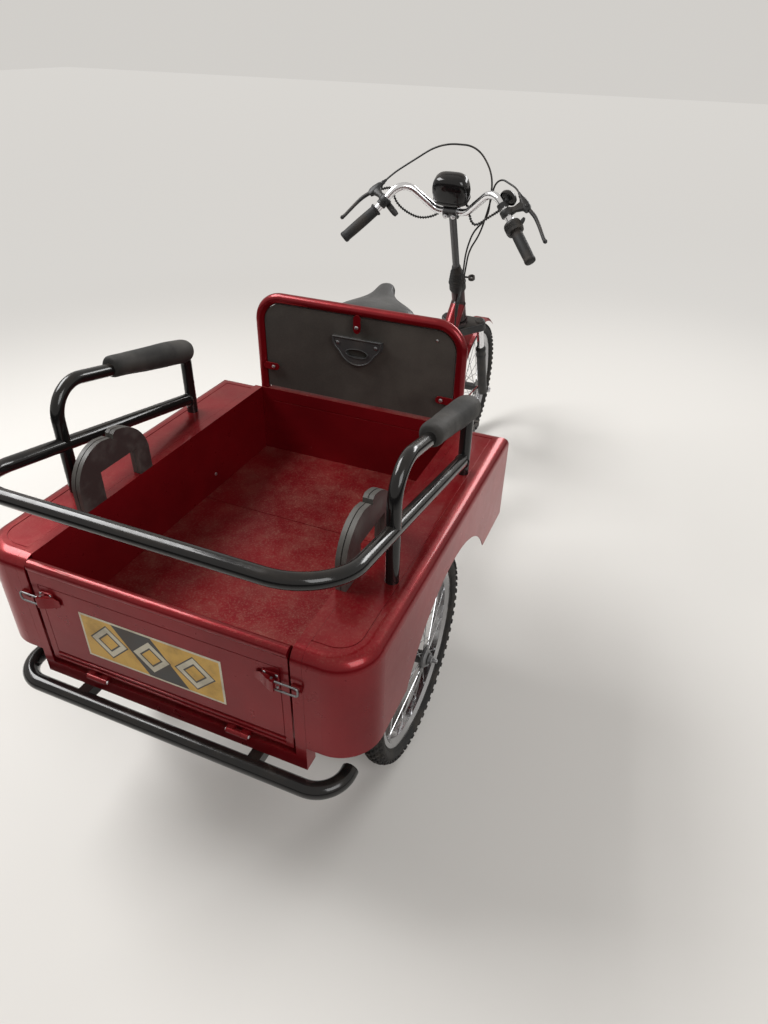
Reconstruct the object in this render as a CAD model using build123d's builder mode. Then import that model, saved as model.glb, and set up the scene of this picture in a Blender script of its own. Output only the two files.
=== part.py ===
from build123d import *
from math import atan2, cos, degrees, hypot, pi, radians, sin, sqrt, tan
import os

# Electric cargo tricycle: one steered front wheel, a low open bed between two rear wheels.
# Millimetres. +Y is forward, +X is the rider's right, +Z is up, the ground is Z = 0.
# The origin is on the ground below the middle of the whole machine.

os.makedirs("parts", exist_ok=True)

# Wheels
tyre_r = 250.0
tyre_w = 50.0
tyre_wall = 12.0
tyre_h = 47.0
rim_lip = 7.0
rim_w = 30.0
rim_sheet = 2.2
rim_depth = 12.0
spoke_count = 28
spoke_r = 1.3
spoke_lean = 34.0
hub_barrel_r = 15.0
hub_flange_r = 24.0
hub_flange_t = 3.0
hub_half = 26.0
wheelbase = 1460.0
track = 648.0
run_clear = 0.05
seat_gap = 0.3
swing_gap = 6.0

# Bed and its sheet metal
bed_behind = 435.0
bed_ahead = 397.0
body_half = 398.0
rim_z = 636.0
floor_z = 459.0
skirt_z = 415.0
sheet = 2.0
bed_half = 269.0
rim_strip = 20.5
lip_r = 26.0
crease_in = 34.0
crease_w = 3.0
crease_d = 1.0
rear_corner_r = 78.0
front_corner_r = 98.0
arch_gap = 46.0
seam_y_ahead = 91.0
post_strip = 20.0

# Tailgate and rear beam
gate_t = 12.0
gate_roll_r = 11.0
gate_low_z = 401.0
hinge_r = 6.0
hinge_pin_r = 2.5
hinge_len = 45.0
hinge_out = 6.0
hinge_z = 395.0
hinge_x = 155.0
sill_top_z = 387.0
sill_h = 30.0
sill_t = 30.0
latch_in = 33.0
latch_z = 560.0
hook_r = 2.2

# Rear bumper
bumper_r = 16.0
bumper_back = 460.0
bumper_z = 342.0
bumper_in = 46.0
bumper_bend = 58.0
bumper_return = 66.0

# Passenger rail and arm rests
rail_r = 14.0
post_r = 13.0
post_out = 58.5
rear_post_behind = 212.0
front_post_ahead = 187.0
rail_rear_z = 742.0
rail_drop = 0.1805
rail_behind = 444.0
rail_bend = 105.0
loop_rear_z = 868.0
loop_front_z = 788.0
loop_rear_bend = 62.0
loop_front_bend = 34.0
pad_r = 25.0
pad_behind = 66.0
pad_ahead = 206.0
pad_raise = 8.0
pad_clear = 0.3

# Notched arches on the bed's inner edges
arch_plate_t = 9.0
arch_core_t = 2.0
arch_core_in = 1.5
arch_back = 273.0
arch_fore = 70.0
arch_h = 126.0
arch_rear_leg = 60.0
arch_fore_leg = 37.0
arch_window_h = 62.0

# Front hoop, its board and fittings
hoop_r = 12.5
hoop_in = 5.0
hoop_top_z = 875.0
hoop_bend = 62.0
hoop_ahead = 397.0
hoop_foot_z = 440.0
board_t = 12.0
board_low_z = 642.0
board_gap = 1.0
board_corner_r = 48.0
handle_w = 130.0
handle_h = 62.0
handle_top_z = 811.0
handle_x = 6.0
handle_t = 9.0
tab_t = 5.0

# Steering axis and front fork
head_lean = 24.0
rake = 54.0
head_low_s = 382.0
head_top_s = 556.0
head_r = 22.0
steerer_r = 12.7
crown_s = 335.0
crown_h = 32.0
leg_half = 60.0
leg_ahead = 34.0
leg_r = 17.0
stanchion_r = 12.5
leg_top_s = 232.0
front_axle_r = 5.0
headset_h = 14.0
stem_r = 11.2
clamp_z = 974.0
clamp_back = 8.0
clamp_r = 19.0
clamp_w = 42.0

# Handlebar and its controls
bar_r = 11.0
bar_flat_x = 48.0
bar_rise_x = 138.0
bar_rise_z = 82.0
bar_rise_back = 52.0
grip_in_x = 202.0
grip_in_z = 980.0
grip_in_back = 80.0
bar_end_x = 285.0
bar_end_z = 898.0
bar_end_back = 147.0
grip_r = 16.0
grip_len = 126.0
lever_r = 4.5
perch_r = 11.0
perch_reach = 56.0
lever_lift = 55.0
bell_r = 25.0
switch_len = 30.0
cable_r = 2.6
pod_w = 112.0
pod_h = 84.0
pod_d = 66.0
pod_tilt = 24.0
pod_ahead = 12.0
pod_lift = 11.0

# Mudguard
guard_gap = 17.0
guard_t = 1.6
guard_half = 30.0
guard_bolt = 20.0
guard_front_deg = 56.0
guard_rear_deg = 204.0

# Frame, seat and drive
rail_in = 79.0
rail_w = 30.0
battery_w = 170.0
battery_l = 220.0
battery_h = 118.0
battery_ahead = 80.0
tube_r = 25.0
seat_tube_r = 16.0
seat_post_r = 12.7
crank_ahead = 870.0
crank_z = 270.0
crank_len = 150.0
crank_deg = 16.0
frame_low_z = 300.0
stay_z = 400.0
stay_r = 10.0
saddle_back = 424.0
saddle_len = 240.0
saddle_half = 108.0
saddle_nose = 26.0
saddle_turn = 12.0
saddle_top_z = 875.0
saddle_t = 62.0
ring_r = 78.0
ring_arms = 5
sprocket_r = 40.0
chain_x = 46.0
chain_w = 8.0
chain_t = 8.5
axle_tube_r = 17.0
half_shaft_r = 10.0

# Places worked out from the sizes above
rim_seat_r = tyre_r - tyre_h
arch_r = tyre_r + arch_gap
guard_r = tyre_r + guard_gap
latch_x = bed_half - latch_in
hoop_half = bed_half - hoop_in
bumper_half = body_half - bumper_in
rear_reach = bumper_back + bumper_r
rear_axle_y = (rear_reach - wheelbase - tyre_r) / 2
front_axle_y = rear_axle_y + wheelbase
wheel_x = track / 2
bed_back_y = rear_axle_y - bed_behind
bed_front_y = rear_axle_y + bed_ahead
strip_out = bed_half + rim_strip
post_x = strip_out + post_out
tilt = radians(head_lean)
steer_dir = Vector(0, -sin(tilt), cos(tilt))
steer_foot = Vector(0, front_axle_y - rake * cos(tilt), tyre_r - rake * sin(tilt))
steer_plane = Plane(origin=steer_foot, x_dir=(1, 0, 0), z_dir=steer_dir)
hoop_y = rear_axle_y + hoop_ahead
front_wall_y = hoop_y - hoop_r - seat_gap


def on_axis(s, ahead=0.0, x=0.0):
    """Point at height s along the steering axis, moved forward of it and sideways."""
    return steer_foot + steer_dir * s + steer_plane.y_dir * ahead + Vector(x, 0, 0)


def rod(start, end, radius):
    """Straight round bar between two points."""
    a, b = Vector(start), Vector(end)
    with BuildPart() as bar:
        with BuildSketch(Plane(origin=a, z_dir=b - a)):
            Circle(radius)
        extrude(amount=(b - a).length)
    return bar.part


def bent_rod(points, bends, radius):
    """Round bar along straight runs joined by tangent arcs."""
    with BuildPart() as bar:
        with BuildLine() as route:
            FilletPolyline(*points, radius=bends)
        with BuildSketch(Plane(origin=route.line @ 0, z_dir=route.line % 0)):
            Circle(radius)
        sweep()
    return bar.part


def block(x0, x1, y0, y1, z0, z1):
    """Box given by its six faces."""
    with BuildPart() as body:
        with BuildSketch(Plane.XY.offset(z0)):
            with Locations(((x0 + x1) / 2, (y0 + y1) / 2)):
                Rectangle(x1 - x0, y1 - y0)
        extrude(amount=z1 - z0)
    return body.part


def ring_of(points, x, y, z):
    """Solid of revolution about a wheel axle; points are (along the axle, radius)."""
    with BuildPart() as body:
        with BuildSketch(Plane(origin=(x, y, z))):
            with BuildLine():
                Polyline(*points, close=True)
            make_face()
        revolve(axis=Axis((x, y, z), (1, 0, 0)))
    return body.part


def save(builder, name):
    """Labels a finished piece and writes its STEP file."""
    builder.part.label = name
    export_step(builder.part, "parts/" + name + ".step")


# Wheels: (name, x, y, inner shaft length); the rear ones carry their half shaft
wheels = [
    ("front", 0.0, front_axle_y, 0.0),
    ("rear_left", -wheel_x, rear_axle_y, 1.0),
    ("rear_right", wheel_x, rear_axle_y, 1.0),
]
tube_end_x = wheel_x - hub_half - swing_gap
shaft_len = 60.0
bead = rim_w / 2 - rim_sheet - seat_gap
tyre_profile = [
    (-9, tyre_r), (9, tyre_r), (tyre_w / 2 - 4, tyre_r - 8), (tyre_w / 2, tyre_r - 22),
    (tyre_w / 2 - 4, tyre_r - 36), (bead, rim_seat_r + rim_lip + 1), (bead, rim_seat_r + seat_gap),
    (-bead, rim_seat_r + seat_gap), (-bead, rim_seat_r + rim_lip + 1), (-tyre_w / 2 + 4, tyre_r - 36),
    (-tyre_w / 2, tyre_r - 22), (-tyre_w / 2 + 4, tyre_r - 8),
]
rim_profile = [
    (-rim_w / 2, rim_seat_r + rim_lip), (-rim_w / 2 + rim_sheet, rim_seat_r + rim_lip),
    (-rim_w / 2 + rim_sheet, rim_seat_r), (rim_w / 2 - rim_sheet, rim_seat_r),
    (rim_w / 2 - rim_sheet, rim_seat_r + rim_lip), (rim_w / 2, rim_seat_r + rim_lip),
    (rim_w / 2, rim_seat_r - 3), (8, rim_seat_r - rim_depth), (-8, rim_seat_r - rim_depth),
    (-rim_w / 2, rim_seat_r - 3),
]
hub_profile = [
    (-hub_half, 0), (-hub_half, hub_flange_r), (-hub_half + hub_flange_t, hub_flange_r),
    (-hub_half + hub_flange_t + 4, hub_barrel_r), (hub_half - hub_flange_t - 4, hub_barrel_r),
    (hub_half - hub_flange_t, hub_flange_r), (hub_half, hub_flange_r), (hub_half, 0),
]
for name, x, y, driven in wheels:
    side = -1 if x < 0 else 1
    rim_ring = ring_of(rim_profile, x, y, tyre_r)
    hub_core = ring_of(hub_profile, x, y, tyre_r)
    spokes = []
    for i in range(spoke_count):
        face = 1 if i % 2 else -1
        lean = spoke_lean if i % 4 < 2 else -spoke_lean
        at_rim = radians(360 * i / spoke_count)
        at_hub = at_rim + radians(lean)
        root_r = hub_flange_r - 4
        root = Vector(x + face * (hub_half - hub_flange_t / 2), y + root_r * cos(at_hub),
                      tyre_r + root_r * sin(at_hub))
        tip_r = rim_seat_r - rim_depth / 2
        tip = Vector(x + face * 3, y + tip_r * cos(at_rim), tyre_r + tip_r * sin(at_rim))
        with BuildPart() as spoke:
            with BuildSketch(Plane(origin=root, z_dir=tip - root)):
                RegularPolygon(spoke_r, 6)
            extrude(amount=(tip - root).length)
        spokes.append(spoke.part)
    with BuildPart() as tyre:
        add(ring_of(tyre_profile, x, y, tyre_r))
    save(tyre, name + "_tyre")
    with BuildPart() as rim:
        add(rim_ring)
        add(hub_core)
        add(spokes)
        if driven:
            inner_x = x - side * (hub_half + shaft_len)
            add(rod((x, y, tyre_r), (inner_x, y, tyre_r), half_shaft_r))
            add(rod((x, y, tyre_r), (x + side * (hub_half + 12), y, tyre_r), half_shaft_r + 2))
        else:
            add(rod((x - hub_half - 1, y, tyre_r), (x + hub_half + 1, y, tyre_r), front_axle_r + run_clear),
                mode=Mode.SUBTRACT)
    save(rim, name + "_rim")

# Side panels: one pressed skin with a flat shelf, a rolled lip, round corners and wheel arches
def bed_outline(inset):
    """Plan of the bed's skin as a sketch on the ground plane."""
    with BuildSketch() as plan:
        with Locations((0, (bed_back_y + bed_front_y) / 2)):
            Rectangle(2 * (body_half - inset), bed_front_y - bed_back_y - 2 * inset)
        corners = plan.vertices().group_by(Axis.Y)
        fillet(corners[0], radius=rear_corner_r - inset)
        fillet(corners[-1], radius=front_corner_r - inset)
    return plan.sketch


def skin_solid(inset, low_z):
    """The bed's outer form, shrunk by inset, from low_z up to the shelf."""
    plan = bed_outline(inset)
    with BuildPart() as form:
        with BuildSketch(Plane.XY.offset(low_z)):
            add(plan)
        extrude(amount=rim_z - inset - low_z)
        fillet(form.faces().sort_by(Axis.Z)[-1].edges(), radius=lip_r - inset)
    return form.part


outer_form = skin_solid(0, skirt_z)
inner_form = skin_solid(sheet, skirt_z - 1)
crease_outer = bed_outline(crease_in)
crease_inner = bed_outline(crease_in + crease_w)
sides = [("left", -1), ("right", 1)]
seam_x = strip_out + seat_gap
for name, side in sides:
    keep_x = sorted((side * seam_x, side * (body_half + 1)))
    keep = block(*keep_x, bed_back_y - 1, bed_front_y + 1, skirt_z - 2, rim_z + 1)
    arch_cut = rod((side * (seam_x - 5), rear_axle_y, tyre_r), (side * (body_half + 5), rear_axle_y, tyre_r),
                   arch_r)
    with BuildPart() as side_panel:
        add(outer_form)
        add(inner_form, mode=Mode.SUBTRACT)
        with BuildSketch(Plane.XY.offset(rim_z - crease_d)):
            add(crease_outer)
            add(crease_inner, mode=Mode.SUBTRACT)
        extrude(amount=crease_d + 1, mode=Mode.SUBTRACT)
        add(keep, mode=Mode.INTERSECT)
        add(arch_cut, mode=Mode.SUBTRACT)
    save(side_panel, "side_panel_" + name)

# Inner walls with the folded rim strip and the rear post strip
wall_back_y = bed_back_y + gate_t + 2 * swing_gap


def rolled_strip(x_low, x_high, y_low, y_high, top, roll):
    """Block from the sill to a top face, with its rear top edge rolled over."""
    with BuildPart() as strip:
        add(block(x_low, x_high, y_low, y_high, sill_top_z, top))
        rear_edge = strip.edges().filter_by(Axis.X).group_by(Axis.Z)[-1].sort_by(Axis.Y)[0]
        fillet(rear_edge, radius=roll)
    return strip.part


with BuildPart() as bed_walls:
    for name, side in sides:
        wall_x = sorted((side * bed_half, side * (bed_half + sheet)))
        strip_x = sorted((side * bed_half, side * strip_out))
        fold_x = sorted((side * (strip_out - sheet), side * strip_out))
        add(rolled_strip(*strip_x, bed_back_y, front_wall_y, rim_z, lip_r))
        add(rolled_strip(*strip_x, bed_back_y + sheet, front_wall_y + 1, rim_z - sheet, lip_r - sheet),
            mode=Mode.SUBTRACT)
        add(block(*wall_x, wall_back_y, front_wall_y, floor_z - sheet, rim_z))
        add(rolled_strip(*fold_x, bed_back_y, wall_back_y + post_strip, rim_z, lip_r))
        add(block(*strip_x, wall_back_y, wall_back_y + sheet, floor_z, rim_z - 1))
save(bed_walls, "bed_walls")

# Floor and front wall
with BuildPart() as bed_floor:
    add(block(-bed_half + seat_gap, bed_half - seat_gap, wall_back_y, front_wall_y - sheet - seat_gap,
              floor_z - sheet, floor_z))
    add(block(-bed_half, bed_half, rear_axle_y + seam_y_ahead, rear_axle_y + seam_y_ahead + crease_w,
              floor_z - crease_d, floor_z + 1), mode=Mode.SUBTRACT)
save(bed_floor, "bed_floor")

with BuildPart() as bed_front_wall:
    add(block(-bed_half + seat_gap, bed_half - seat_gap, front_wall_y - sheet, front_wall_y, floor_z - sheet, rim_z))
    add(block(-hoop_half + hoop_r + board_gap, hoop_half - hoop_r - board_gap, front_wall_y - sheet,
              hoop_y + hoop_r, rim_z - sheet, rim_z))
    add(block(-bed_half + crease_in, bed_half - crease_in, front_wall_y - sheet - 1, front_wall_y - sheet + crease_d,
              rim_z - crease_in, rim_z - crease_in + crease_w), mode=Mode.SUBTRACT)
save(bed_front_wall, "bed_front_wall")

# Under-bed frame with axle hangers
rail_x = bed_half - rail_in
frame_top_z = floor_z - sheet
frame_low = frame_top_z - rail_w
cross_ys = [bed_back_y + sill_t + 2, rear_axle_y - 60, rear_axle_y + 150, front_wall_y - rail_w]
with BuildPart() as bed_frame:
    for side in (-1, 1):
        add(block(side * rail_x - rail_w / 2, side * rail_x + rail_w / 2, cross_ys[0], cross_ys[-1] + rail_w,
                  frame_low, frame_top_z))
        add(block(side * rail_x - 3, side * rail_x + 3, rear_axle_y - 45, rear_axle_y + 45,
                  tyre_r - 30, frame_low + 1))
    for y in cross_ys:
        add(block(-bed_half, bed_half, y, y + rail_w, frame_low, frame_top_z))
    add(rod((-rail_x - 10, rear_axle_y, tyre_r), (rail_x + 10, rear_axle_y, tyre_r),
            axle_tube_r + seat_gap), mode=Mode.SUBTRACT)
save(bed_frame, "bed_frame")

# Rear axle housing, motor and battery
diff_r = 54.0
diff_half = 34.0
motor_r = 46.0
with BuildPart() as axle_housing:
    add(rod((-tube_end_x, rear_axle_y, tyre_r), (tube_end_x, rear_axle_y, tyre_r), axle_tube_r))
    add(rod((-diff_half, rear_axle_y, tyre_r), (diff_half, rear_axle_y, tyre_r), diff_r))
    for side in (-1, 1):
        add(rod((side * (tube_end_x - 10), rear_axle_y, tyre_r), (side * tube_end_x, rear_axle_y, tyre_r),
                axle_tube_r + 8))
    add(rod((diff_half, rear_axle_y, tyre_r), (chain_x + chain_w / 2, rear_axle_y, tyre_r), sprocket_r - 4))
    for side in (-1, 1):
        add(rod((side * (wheel_x - hub_half - shaft_len - 1), rear_axle_y, tyre_r),
                (side * (tube_end_x + 1), rear_axle_y, tyre_r), half_shaft_r + run_clear), mode=Mode.SUBTRACT)
save(axle_housing, "axle_housing")

motor_y = rear_axle_y - diff_r - motor_r - seat_gap
with BuildPart() as drive_motor:
    add(rod((-95, motor_y, tyre_r + 10), (25, motor_y, tyre_r + 10), motor_r))
    add(block(-60, -40, motor_y - 8, motor_y + 8, tyre_r + 50, frame_low))
    add(block(0, 20, motor_y - 8, motor_y + 8, tyre_r + 50, frame_low))
    add(block(-80, 25, motor_y - 20, motor_y + 20, frame_low - 4, frame_low))
    add(block(-80, -60, motor_y - 20, cross_ys[1] + rail_w, frame_low - 4, frame_low))
save(drive_motor, "drive_motor")

with BuildPart() as battery_box:
    add(block(-battery_w - 5, -5, rear_axle_y + battery_ahead, rear_axle_y + battery_ahead + battery_l,
              frame_low - battery_h, frame_low))
    fillet(battery_box.edges().filter_by(Axis.Z), radius=8)
save(battery_box, "battery_box")

# Rear beam under the tailgate, with the middle knuckles of the hinges
hinge_y = bed_back_y - hinge_out
with BuildPart() as rear_sill:
    add(block(-strip_out, strip_out, bed_back_y, bed_back_y + sill_t, sill_top_z - sill_h, sill_top_z))
    for side in (-1, 1):
        add(block(side * hinge_x - hinge_len / 6, side * hinge_x + hinge_len / 6, hinge_y, bed_back_y + 4,
                  sill_top_z - 6, hinge_z))
        add(rod((side * hinge_x - hinge_len / 6, hinge_y, hinge_z), (side * hinge_x + hinge_len / 6, hinge_y, hinge_z),
                hinge_r))
        add(rod((side * hinge_x - hinge_len, hinge_y, hinge_z), (side * hinge_x + hinge_len, hinge_y, hinge_z),
                hinge_pin_r + run_clear), mode=Mode.SUBTRACT)
        add(block(side * rail_x - 10, side * rail_x + 10, bed_back_y + sill_t, cross_ys[0], sill_top_z - sill_h,
                  frame_low + rail_w / 2))
save(rear_sill, "rear_sill")

# Tailgate: a flat box door with a rolled top edge, hinged at its foot
gate_half = bed_half - swing_gap + 1
gate_top_z = rim_z - 2
with BuildPart() as tailgate:
    with BuildSketch(Plane(origin=(-gate_half, 0, 0), x_dir=(0, 1, 0), z_dir=(1, 0, 0))):
        with BuildLine():
            Polyline((bed_back_y + 2, gate_low_z), (bed_back_y + 2, gate_top_z - gate_roll_r),
                     (bed_back_y + gate_t, gate_top_z - gate_roll_r), (bed_back_y + gate_t, gate_low_z),
                     close=True)
        make_face()
        with Locations((bed_back_y + gate_roll_r, gate_top_z - gate_roll_r)):
            Circle(gate_roll_r)
    extrude(amount=2 * gate_half)
    with BuildSketch(Plane(origin=(0, bed_back_y + 2 + crease_d, 0), x_dir=(1, 0, 0), z_dir=(0, -1, 0))):
        groove_low = gate_low_z + 22
        groove_top = gate_top_z - 2 * gate_roll_r - 22
        with Locations((0, (groove_low + groove_top) / 2)):
            Rectangle(2 * gate_half - 30, groove_top - groove_low)
            Rectangle(2 * gate_half - 30 - crease_w, groove_top - groove_low - crease_w, mode=Mode.SUBTRACT)
    extrude(amount=crease_d + 1, mode=Mode.SUBTRACT)
    for side in (-1, 1):
        for end in (-1, 1):
            mid = side * hinge_x + end * hinge_len / 3
            add(block(mid - hinge_len / 6 + 0.4, mid + hinge_len / 6, hinge_y, bed_back_y + 4, hinge_z, gate_low_z + 2))
            add(rod((mid - hinge_len / 6 + 0.4, hinge_y, hinge_z), (mid + hinge_len / 6, hinge_y, hinge_z), hinge_r))
        add(rod((side * hinge_x - hinge_len / 2, hinge_y, hinge_z), (side * hinge_x + hinge_len / 2, hinge_y, hinge_z),
                hinge_pin_r))
save(tailgate, "tailgate")

# Rear bumper: one bent tube with its ends turned forward and two feet on the rear beam
bumper_y = rear_axle_y - bumper_back
with BuildPart() as rear_bumper:
    add(bent_rod([(-bumper_half, bumper_y + bumper_return, bumper_z), (-bumper_half, bumper_y, bumper_z),
                  (bumper_half, bumper_y, bumper_z), (bumper_half, bumper_y + bumper_return, bumper_z)],
                 bumper_bend, bumper_r))
    for side in (-1, 1):
        add(block(side * rail_x - 12, side * rail_x + 12, bumper_y, bed_back_y + sill_t, bumper_z - 8,
                  sill_top_z - sill_h))
save(rear_bumper, "rear_bumper")

# Arm rest loops, the passenger rail between them and the foam pads
loop_back_y = rear_axle_y - rear_post_behind
loop_fore_y = rear_axle_y + front_post_ahead
loop_slope = (loop_front_z - loop_rear_z) / (loop_fore_y - loop_back_y)


def rail_height(y):
    """Height of the sloping passenger rail at a place along the machine."""
    return rail_rear_z - rail_drop * (y - loop_back_y)


def loop_height(y):
    """Height of the arm rest's top run at a place along the machine."""
    return loop_rear_z + loop_slope * (y - loop_back_y)


loop_bars = []
pad_sleeves = []
for name, side in sides:
    x = side * post_x
    loop_bar = bent_rod([(x, loop_back_y, rim_z), (x, loop_back_y, loop_rear_z), (x, loop_fore_y, loop_front_z),
                         (x, loop_fore_y, rim_z)], [loop_rear_bend, loop_front_bend], post_r)
    loop_bars.append(loop_bar)
    pad_start = Vector(x, rear_axle_y - pad_behind, loop_height(rear_axle_y - pad_behind) + pad_raise)
    pad_end = Vector(x, rear_axle_y + pad_ahead, loop_height(rear_axle_y + pad_ahead) + pad_raise)
    with BuildPart() as arm_pad:
        add(rod(pad_start, pad_end, pad_r))
        pad_ends = arm_pad.edges().filter_by(GeomType.CIRCLE).sort_by(Axis.Y)
        fillet(pad_ends[-1], radius=pad_r * 0.8)
        fillet(arm_pad.edges().filter_by(GeomType.CIRCLE).sort_by(Axis.Y)[0], radius=pad_r * 0.3)
        add(bent_rod([(x, loop_back_y, rim_z), (x, loop_back_y, loop_rear_z), (x, loop_fore_y, loop_front_z),
                      (x, loop_fore_y, rim_z)], [loop_rear_bend, loop_front_bend], post_r + pad_clear),
            mode=Mode.SUBTRACT)
    pad_sleeves.append(arm_pad.part)

with BuildPart() as arm_loops:
    add(loop_bars)
save(arm_loops, "arm_loops")

with BuildPart() as arm_pads:
    add(pad_sleeves)
save(arm_pads, "arm_pads")

rail_back_y = rear_axle_y - rail_behind
rail_fore_y = loop_fore_y - post_r * 0.7
with BuildPart() as arm_rail:
    add(bent_rod([(-post_x, rail_fore_y, rail_height(rail_fore_y)), (-post_x, rail_back_y, rail_height(rail_back_y)),
                  (post_x, rail_back_y, rail_height(rail_back_y)), (post_x, rail_fore_y, rail_height(rail_fore_y))],
                 rail_bend, rail_r))
    add(loop_bars, mode=Mode.SUBTRACT)
save(arm_rail, "arm_rail")

# Notched arches: two plates on a thinner core, with a two-lobed top and a square window
arch_back_y = rear_axle_y - arch_back
arch_len = arch_back - arch_fore
arch_top = rim_z + arch_h


def arch_outline(inset):
    """Side view of an arch on the plane of its inner face."""
    back, fore, top = arch_back_y + inset, arch_back_y + arch_len - inset, arch_top - inset
    notch = arch_back_y + arch_len * 0.54
    with BuildSketch(Plane(origin=(0, 0, 0), x_dir=(0, 1, 0), z_dir=(1, 0, 0))) as outline:
        with BuildLine():
            low = Polyline((fore, rim_z), (back, rim_z), (back, top - arch_len * 0.38))
            rear_lobe = RadiusArc(low @ 1, (back + arch_len * 0.38, top - 4), arch_len * 0.39)
            step = Polyline(rear_lobe @ 1, (notch - 8, top - 8), (notch, top - 16), (notch + 2, top - 5), (notch + 9, top))
            front_lobe = RadiusArc(step @ 1, (fore, top - arch_len * 0.36), arch_len * 0.44)
            Line(front_lobe @ 1, low @ 0)
        make_face()
        window_back = arch_back_y + arch_rear_leg + inset
        window_fore = arch_back_y + arch_len - arch_fore_leg - inset
        with Locations(((window_back + window_fore) / 2, rim_z + (arch_window_h + inset) / 2)):
            Rectangle(window_fore - window_back, arch_window_h + inset, mode=Mode.SUBTRACT)
        inner = outline.vertices().filter_by(lambda v: abs(v.Z - rim_z - arch_window_h - inset) < 0.01)
        fillet(inner, radius=10)
    return outline.sketch


arch_plate = arch_outline(0)
arch_core = arch_outline(arch_core_in)
arch_layers = [(0.0, arch_plate_t, arch_plate), (arch_plate_t, arch_core_t, arch_core),
               (arch_plate_t + arch_core_t, arch_plate_t, arch_plate)]
with BuildPart() as arches:
    for name, side in sides:
        for start, depth, face in arch_layers:
            layer = face.moved(Location((side * (bed_half + start), 0, 0)))
            extrude(layer, amount=depth, dir=(side, 0, 0))
save(arches, "arches")

# Front hoop, the board inside it, its carrying handle and the turn tabs that hold it
with BuildPart() as front_hoop:
    add(bent_rod([(-hoop_half, hoop_y, hoop_foot_z), (-hoop_half, hoop_y, hoop_top_z), (hoop_half, hoop_y, hoop_top_z),
                  (hoop_half, hoop_y, hoop_foot_z)], hoop_bend, hoop_r))
save(front_hoop, "front_hoop")

board_half = hoop_half - hoop_r - board_gap
board_top_z = hoop_top_z - hoop_r - board_gap
with BuildPart() as seat_board:
    with BuildSketch(Plane(origin=(0, hoop_y + board_t / 2, 0), x_dir=(1, 0, 0), z_dir=(0, -1, 0))):
        with Locations((0, (board_low_z + board_top_z) / 2)):
            Rectangle(2 * board_half, board_top_z - board_low_z)
    extrude(amount=board_t)
    upper = seat_board.edges().filter_by(Axis.Y).group_by(Axis.Z)[-1]
    fillet(upper, radius=board_corner_r)
save(seat_board, "seat_board")

board_back_y = hoop_y - board_t / 2
with BuildPart() as board_handle:
    with BuildSketch(Plane(origin=(handle_x, board_back_y, handle_top_z), x_dir=(1, 0, 0), z_dir=(0, -1, 0))):
        with BuildLine():
            ears = Polyline((-handle_w * 0.36, -handle_h * 0.55), (-handle_w / 2, -handle_h * 0.30), (-handle_w / 2, 0),
                            (handle_w / 2, 0), (handle_w / 2, -handle_h * 0.30), (handle_w * 0.36, -handle_h * 0.55))
            ThreePointArc(ears @ 1, (0, -handle_h), ears @ 0)
        make_face()
        with Locations((0, -handle_h * 0.58)):
            SlotOverall(handle_w * 0.42, handle_h * 0.27, mode=Mode.SUBTRACT)
    extrude(amount=handle_t)
save(board_handle, "board_handle")

# Turn tabs as (x, z, turn in degrees)
tab_places = [(7.0, board_top_z - 14, 90), (-board_half + 16, 701.0, 0), (board_half - 16, 698.0, 180)]
with BuildPart() as board_tabs:
    for x, z, turn in tab_places:
        with BuildSketch(Plane(origin=(x, hoop_y - hoop_r, z), x_dir=(1, 0, 0), z_dir=(0, -1, 0))):
            SlotOverall(44, 17, rotation=turn)
        extrude(amount=tab_t)
        with BuildSketch(Plane(origin=(x, hoop_y - hoop_r, z), x_dir=(1, 0, 0), z_dir=(0, -1, 0))):
            Circle(4)
        extrude(amount=-(hoop_r - board_t / 2))
save(board_tabs, "board_tabs")

# Main frame: head tube, swan-neck tube, bottom bracket, seat tube and bed stays
crank_y = rear_axle_y + crank_ahead
seat_foot = Vector(0, rear_axle_y + 655, frame_low_z)
seat_top = Vector(0, rear_axle_y + 560, 640)
seat_dir = (seat_top - seat_foot).normalized()
neck_y = front_wall_y - rail_w / 2
axle_r = 8.0
shell_r = 22.0
shell_half = 36.0
head_joint = on_axis((head_low_s + head_top_s) / 2)
with BuildPart() as main_frame:
    add(rod(on_axis(head_low_s), on_axis(head_top_s), head_r))
    add(rod(on_axis(head_low_s), on_axis(head_low_s + 12), head_r + 4))
    add(rod(on_axis(head_top_s - 12), on_axis(head_top_s), head_r + 4))
    add(bent_rod([head_joint, (0, rear_axle_y + 1040, 495), (0, rear_axle_y + 910, frame_low_z),
                  (0, neck_y, frame_low_z), (0, neck_y, frame_low)], [220, 150, 60], tube_r))
    add(rod((-shell_half, crank_y, crank_z), (shell_half, crank_y, crank_z), shell_r))
    add(rod(seat_foot, seat_top, seat_tube_r))
    add(rod(seat_top - seat_dir * 24, seat_top, seat_tube_r + 4))
    for side in (-1, 1):
        add(rod((side * 8, rear_axle_y + 622, stay_z), (side * rail_x, neck_y, frame_top_z - rail_w / 2), stay_r))
    add(rod(on_axis(head_low_s - 1), on_axis(head_top_s + 1), steerer_r + run_clear), mode=Mode.SUBTRACT)
    add(rod((-shell_half - 1, crank_y, crank_z), (shell_half + 1, crank_y, crank_z), axle_r + run_clear),
        mode=Mode.SUBTRACT)
    add(rod(seat_top - seat_dir * 110, seat_top + seat_dir, seat_post_r + run_clear), mode=Mode.SUBTRACT)
    add(block(-rail_x - 30, rail_x + 30, neck_y - 40, neck_y + 40, frame_low, frame_low + 60), mode=Mode.SUBTRACT)
save(main_frame, "main_frame")

# Saddle on its post, with two springs
saddle_y = rear_axle_y + saddle_back
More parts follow.
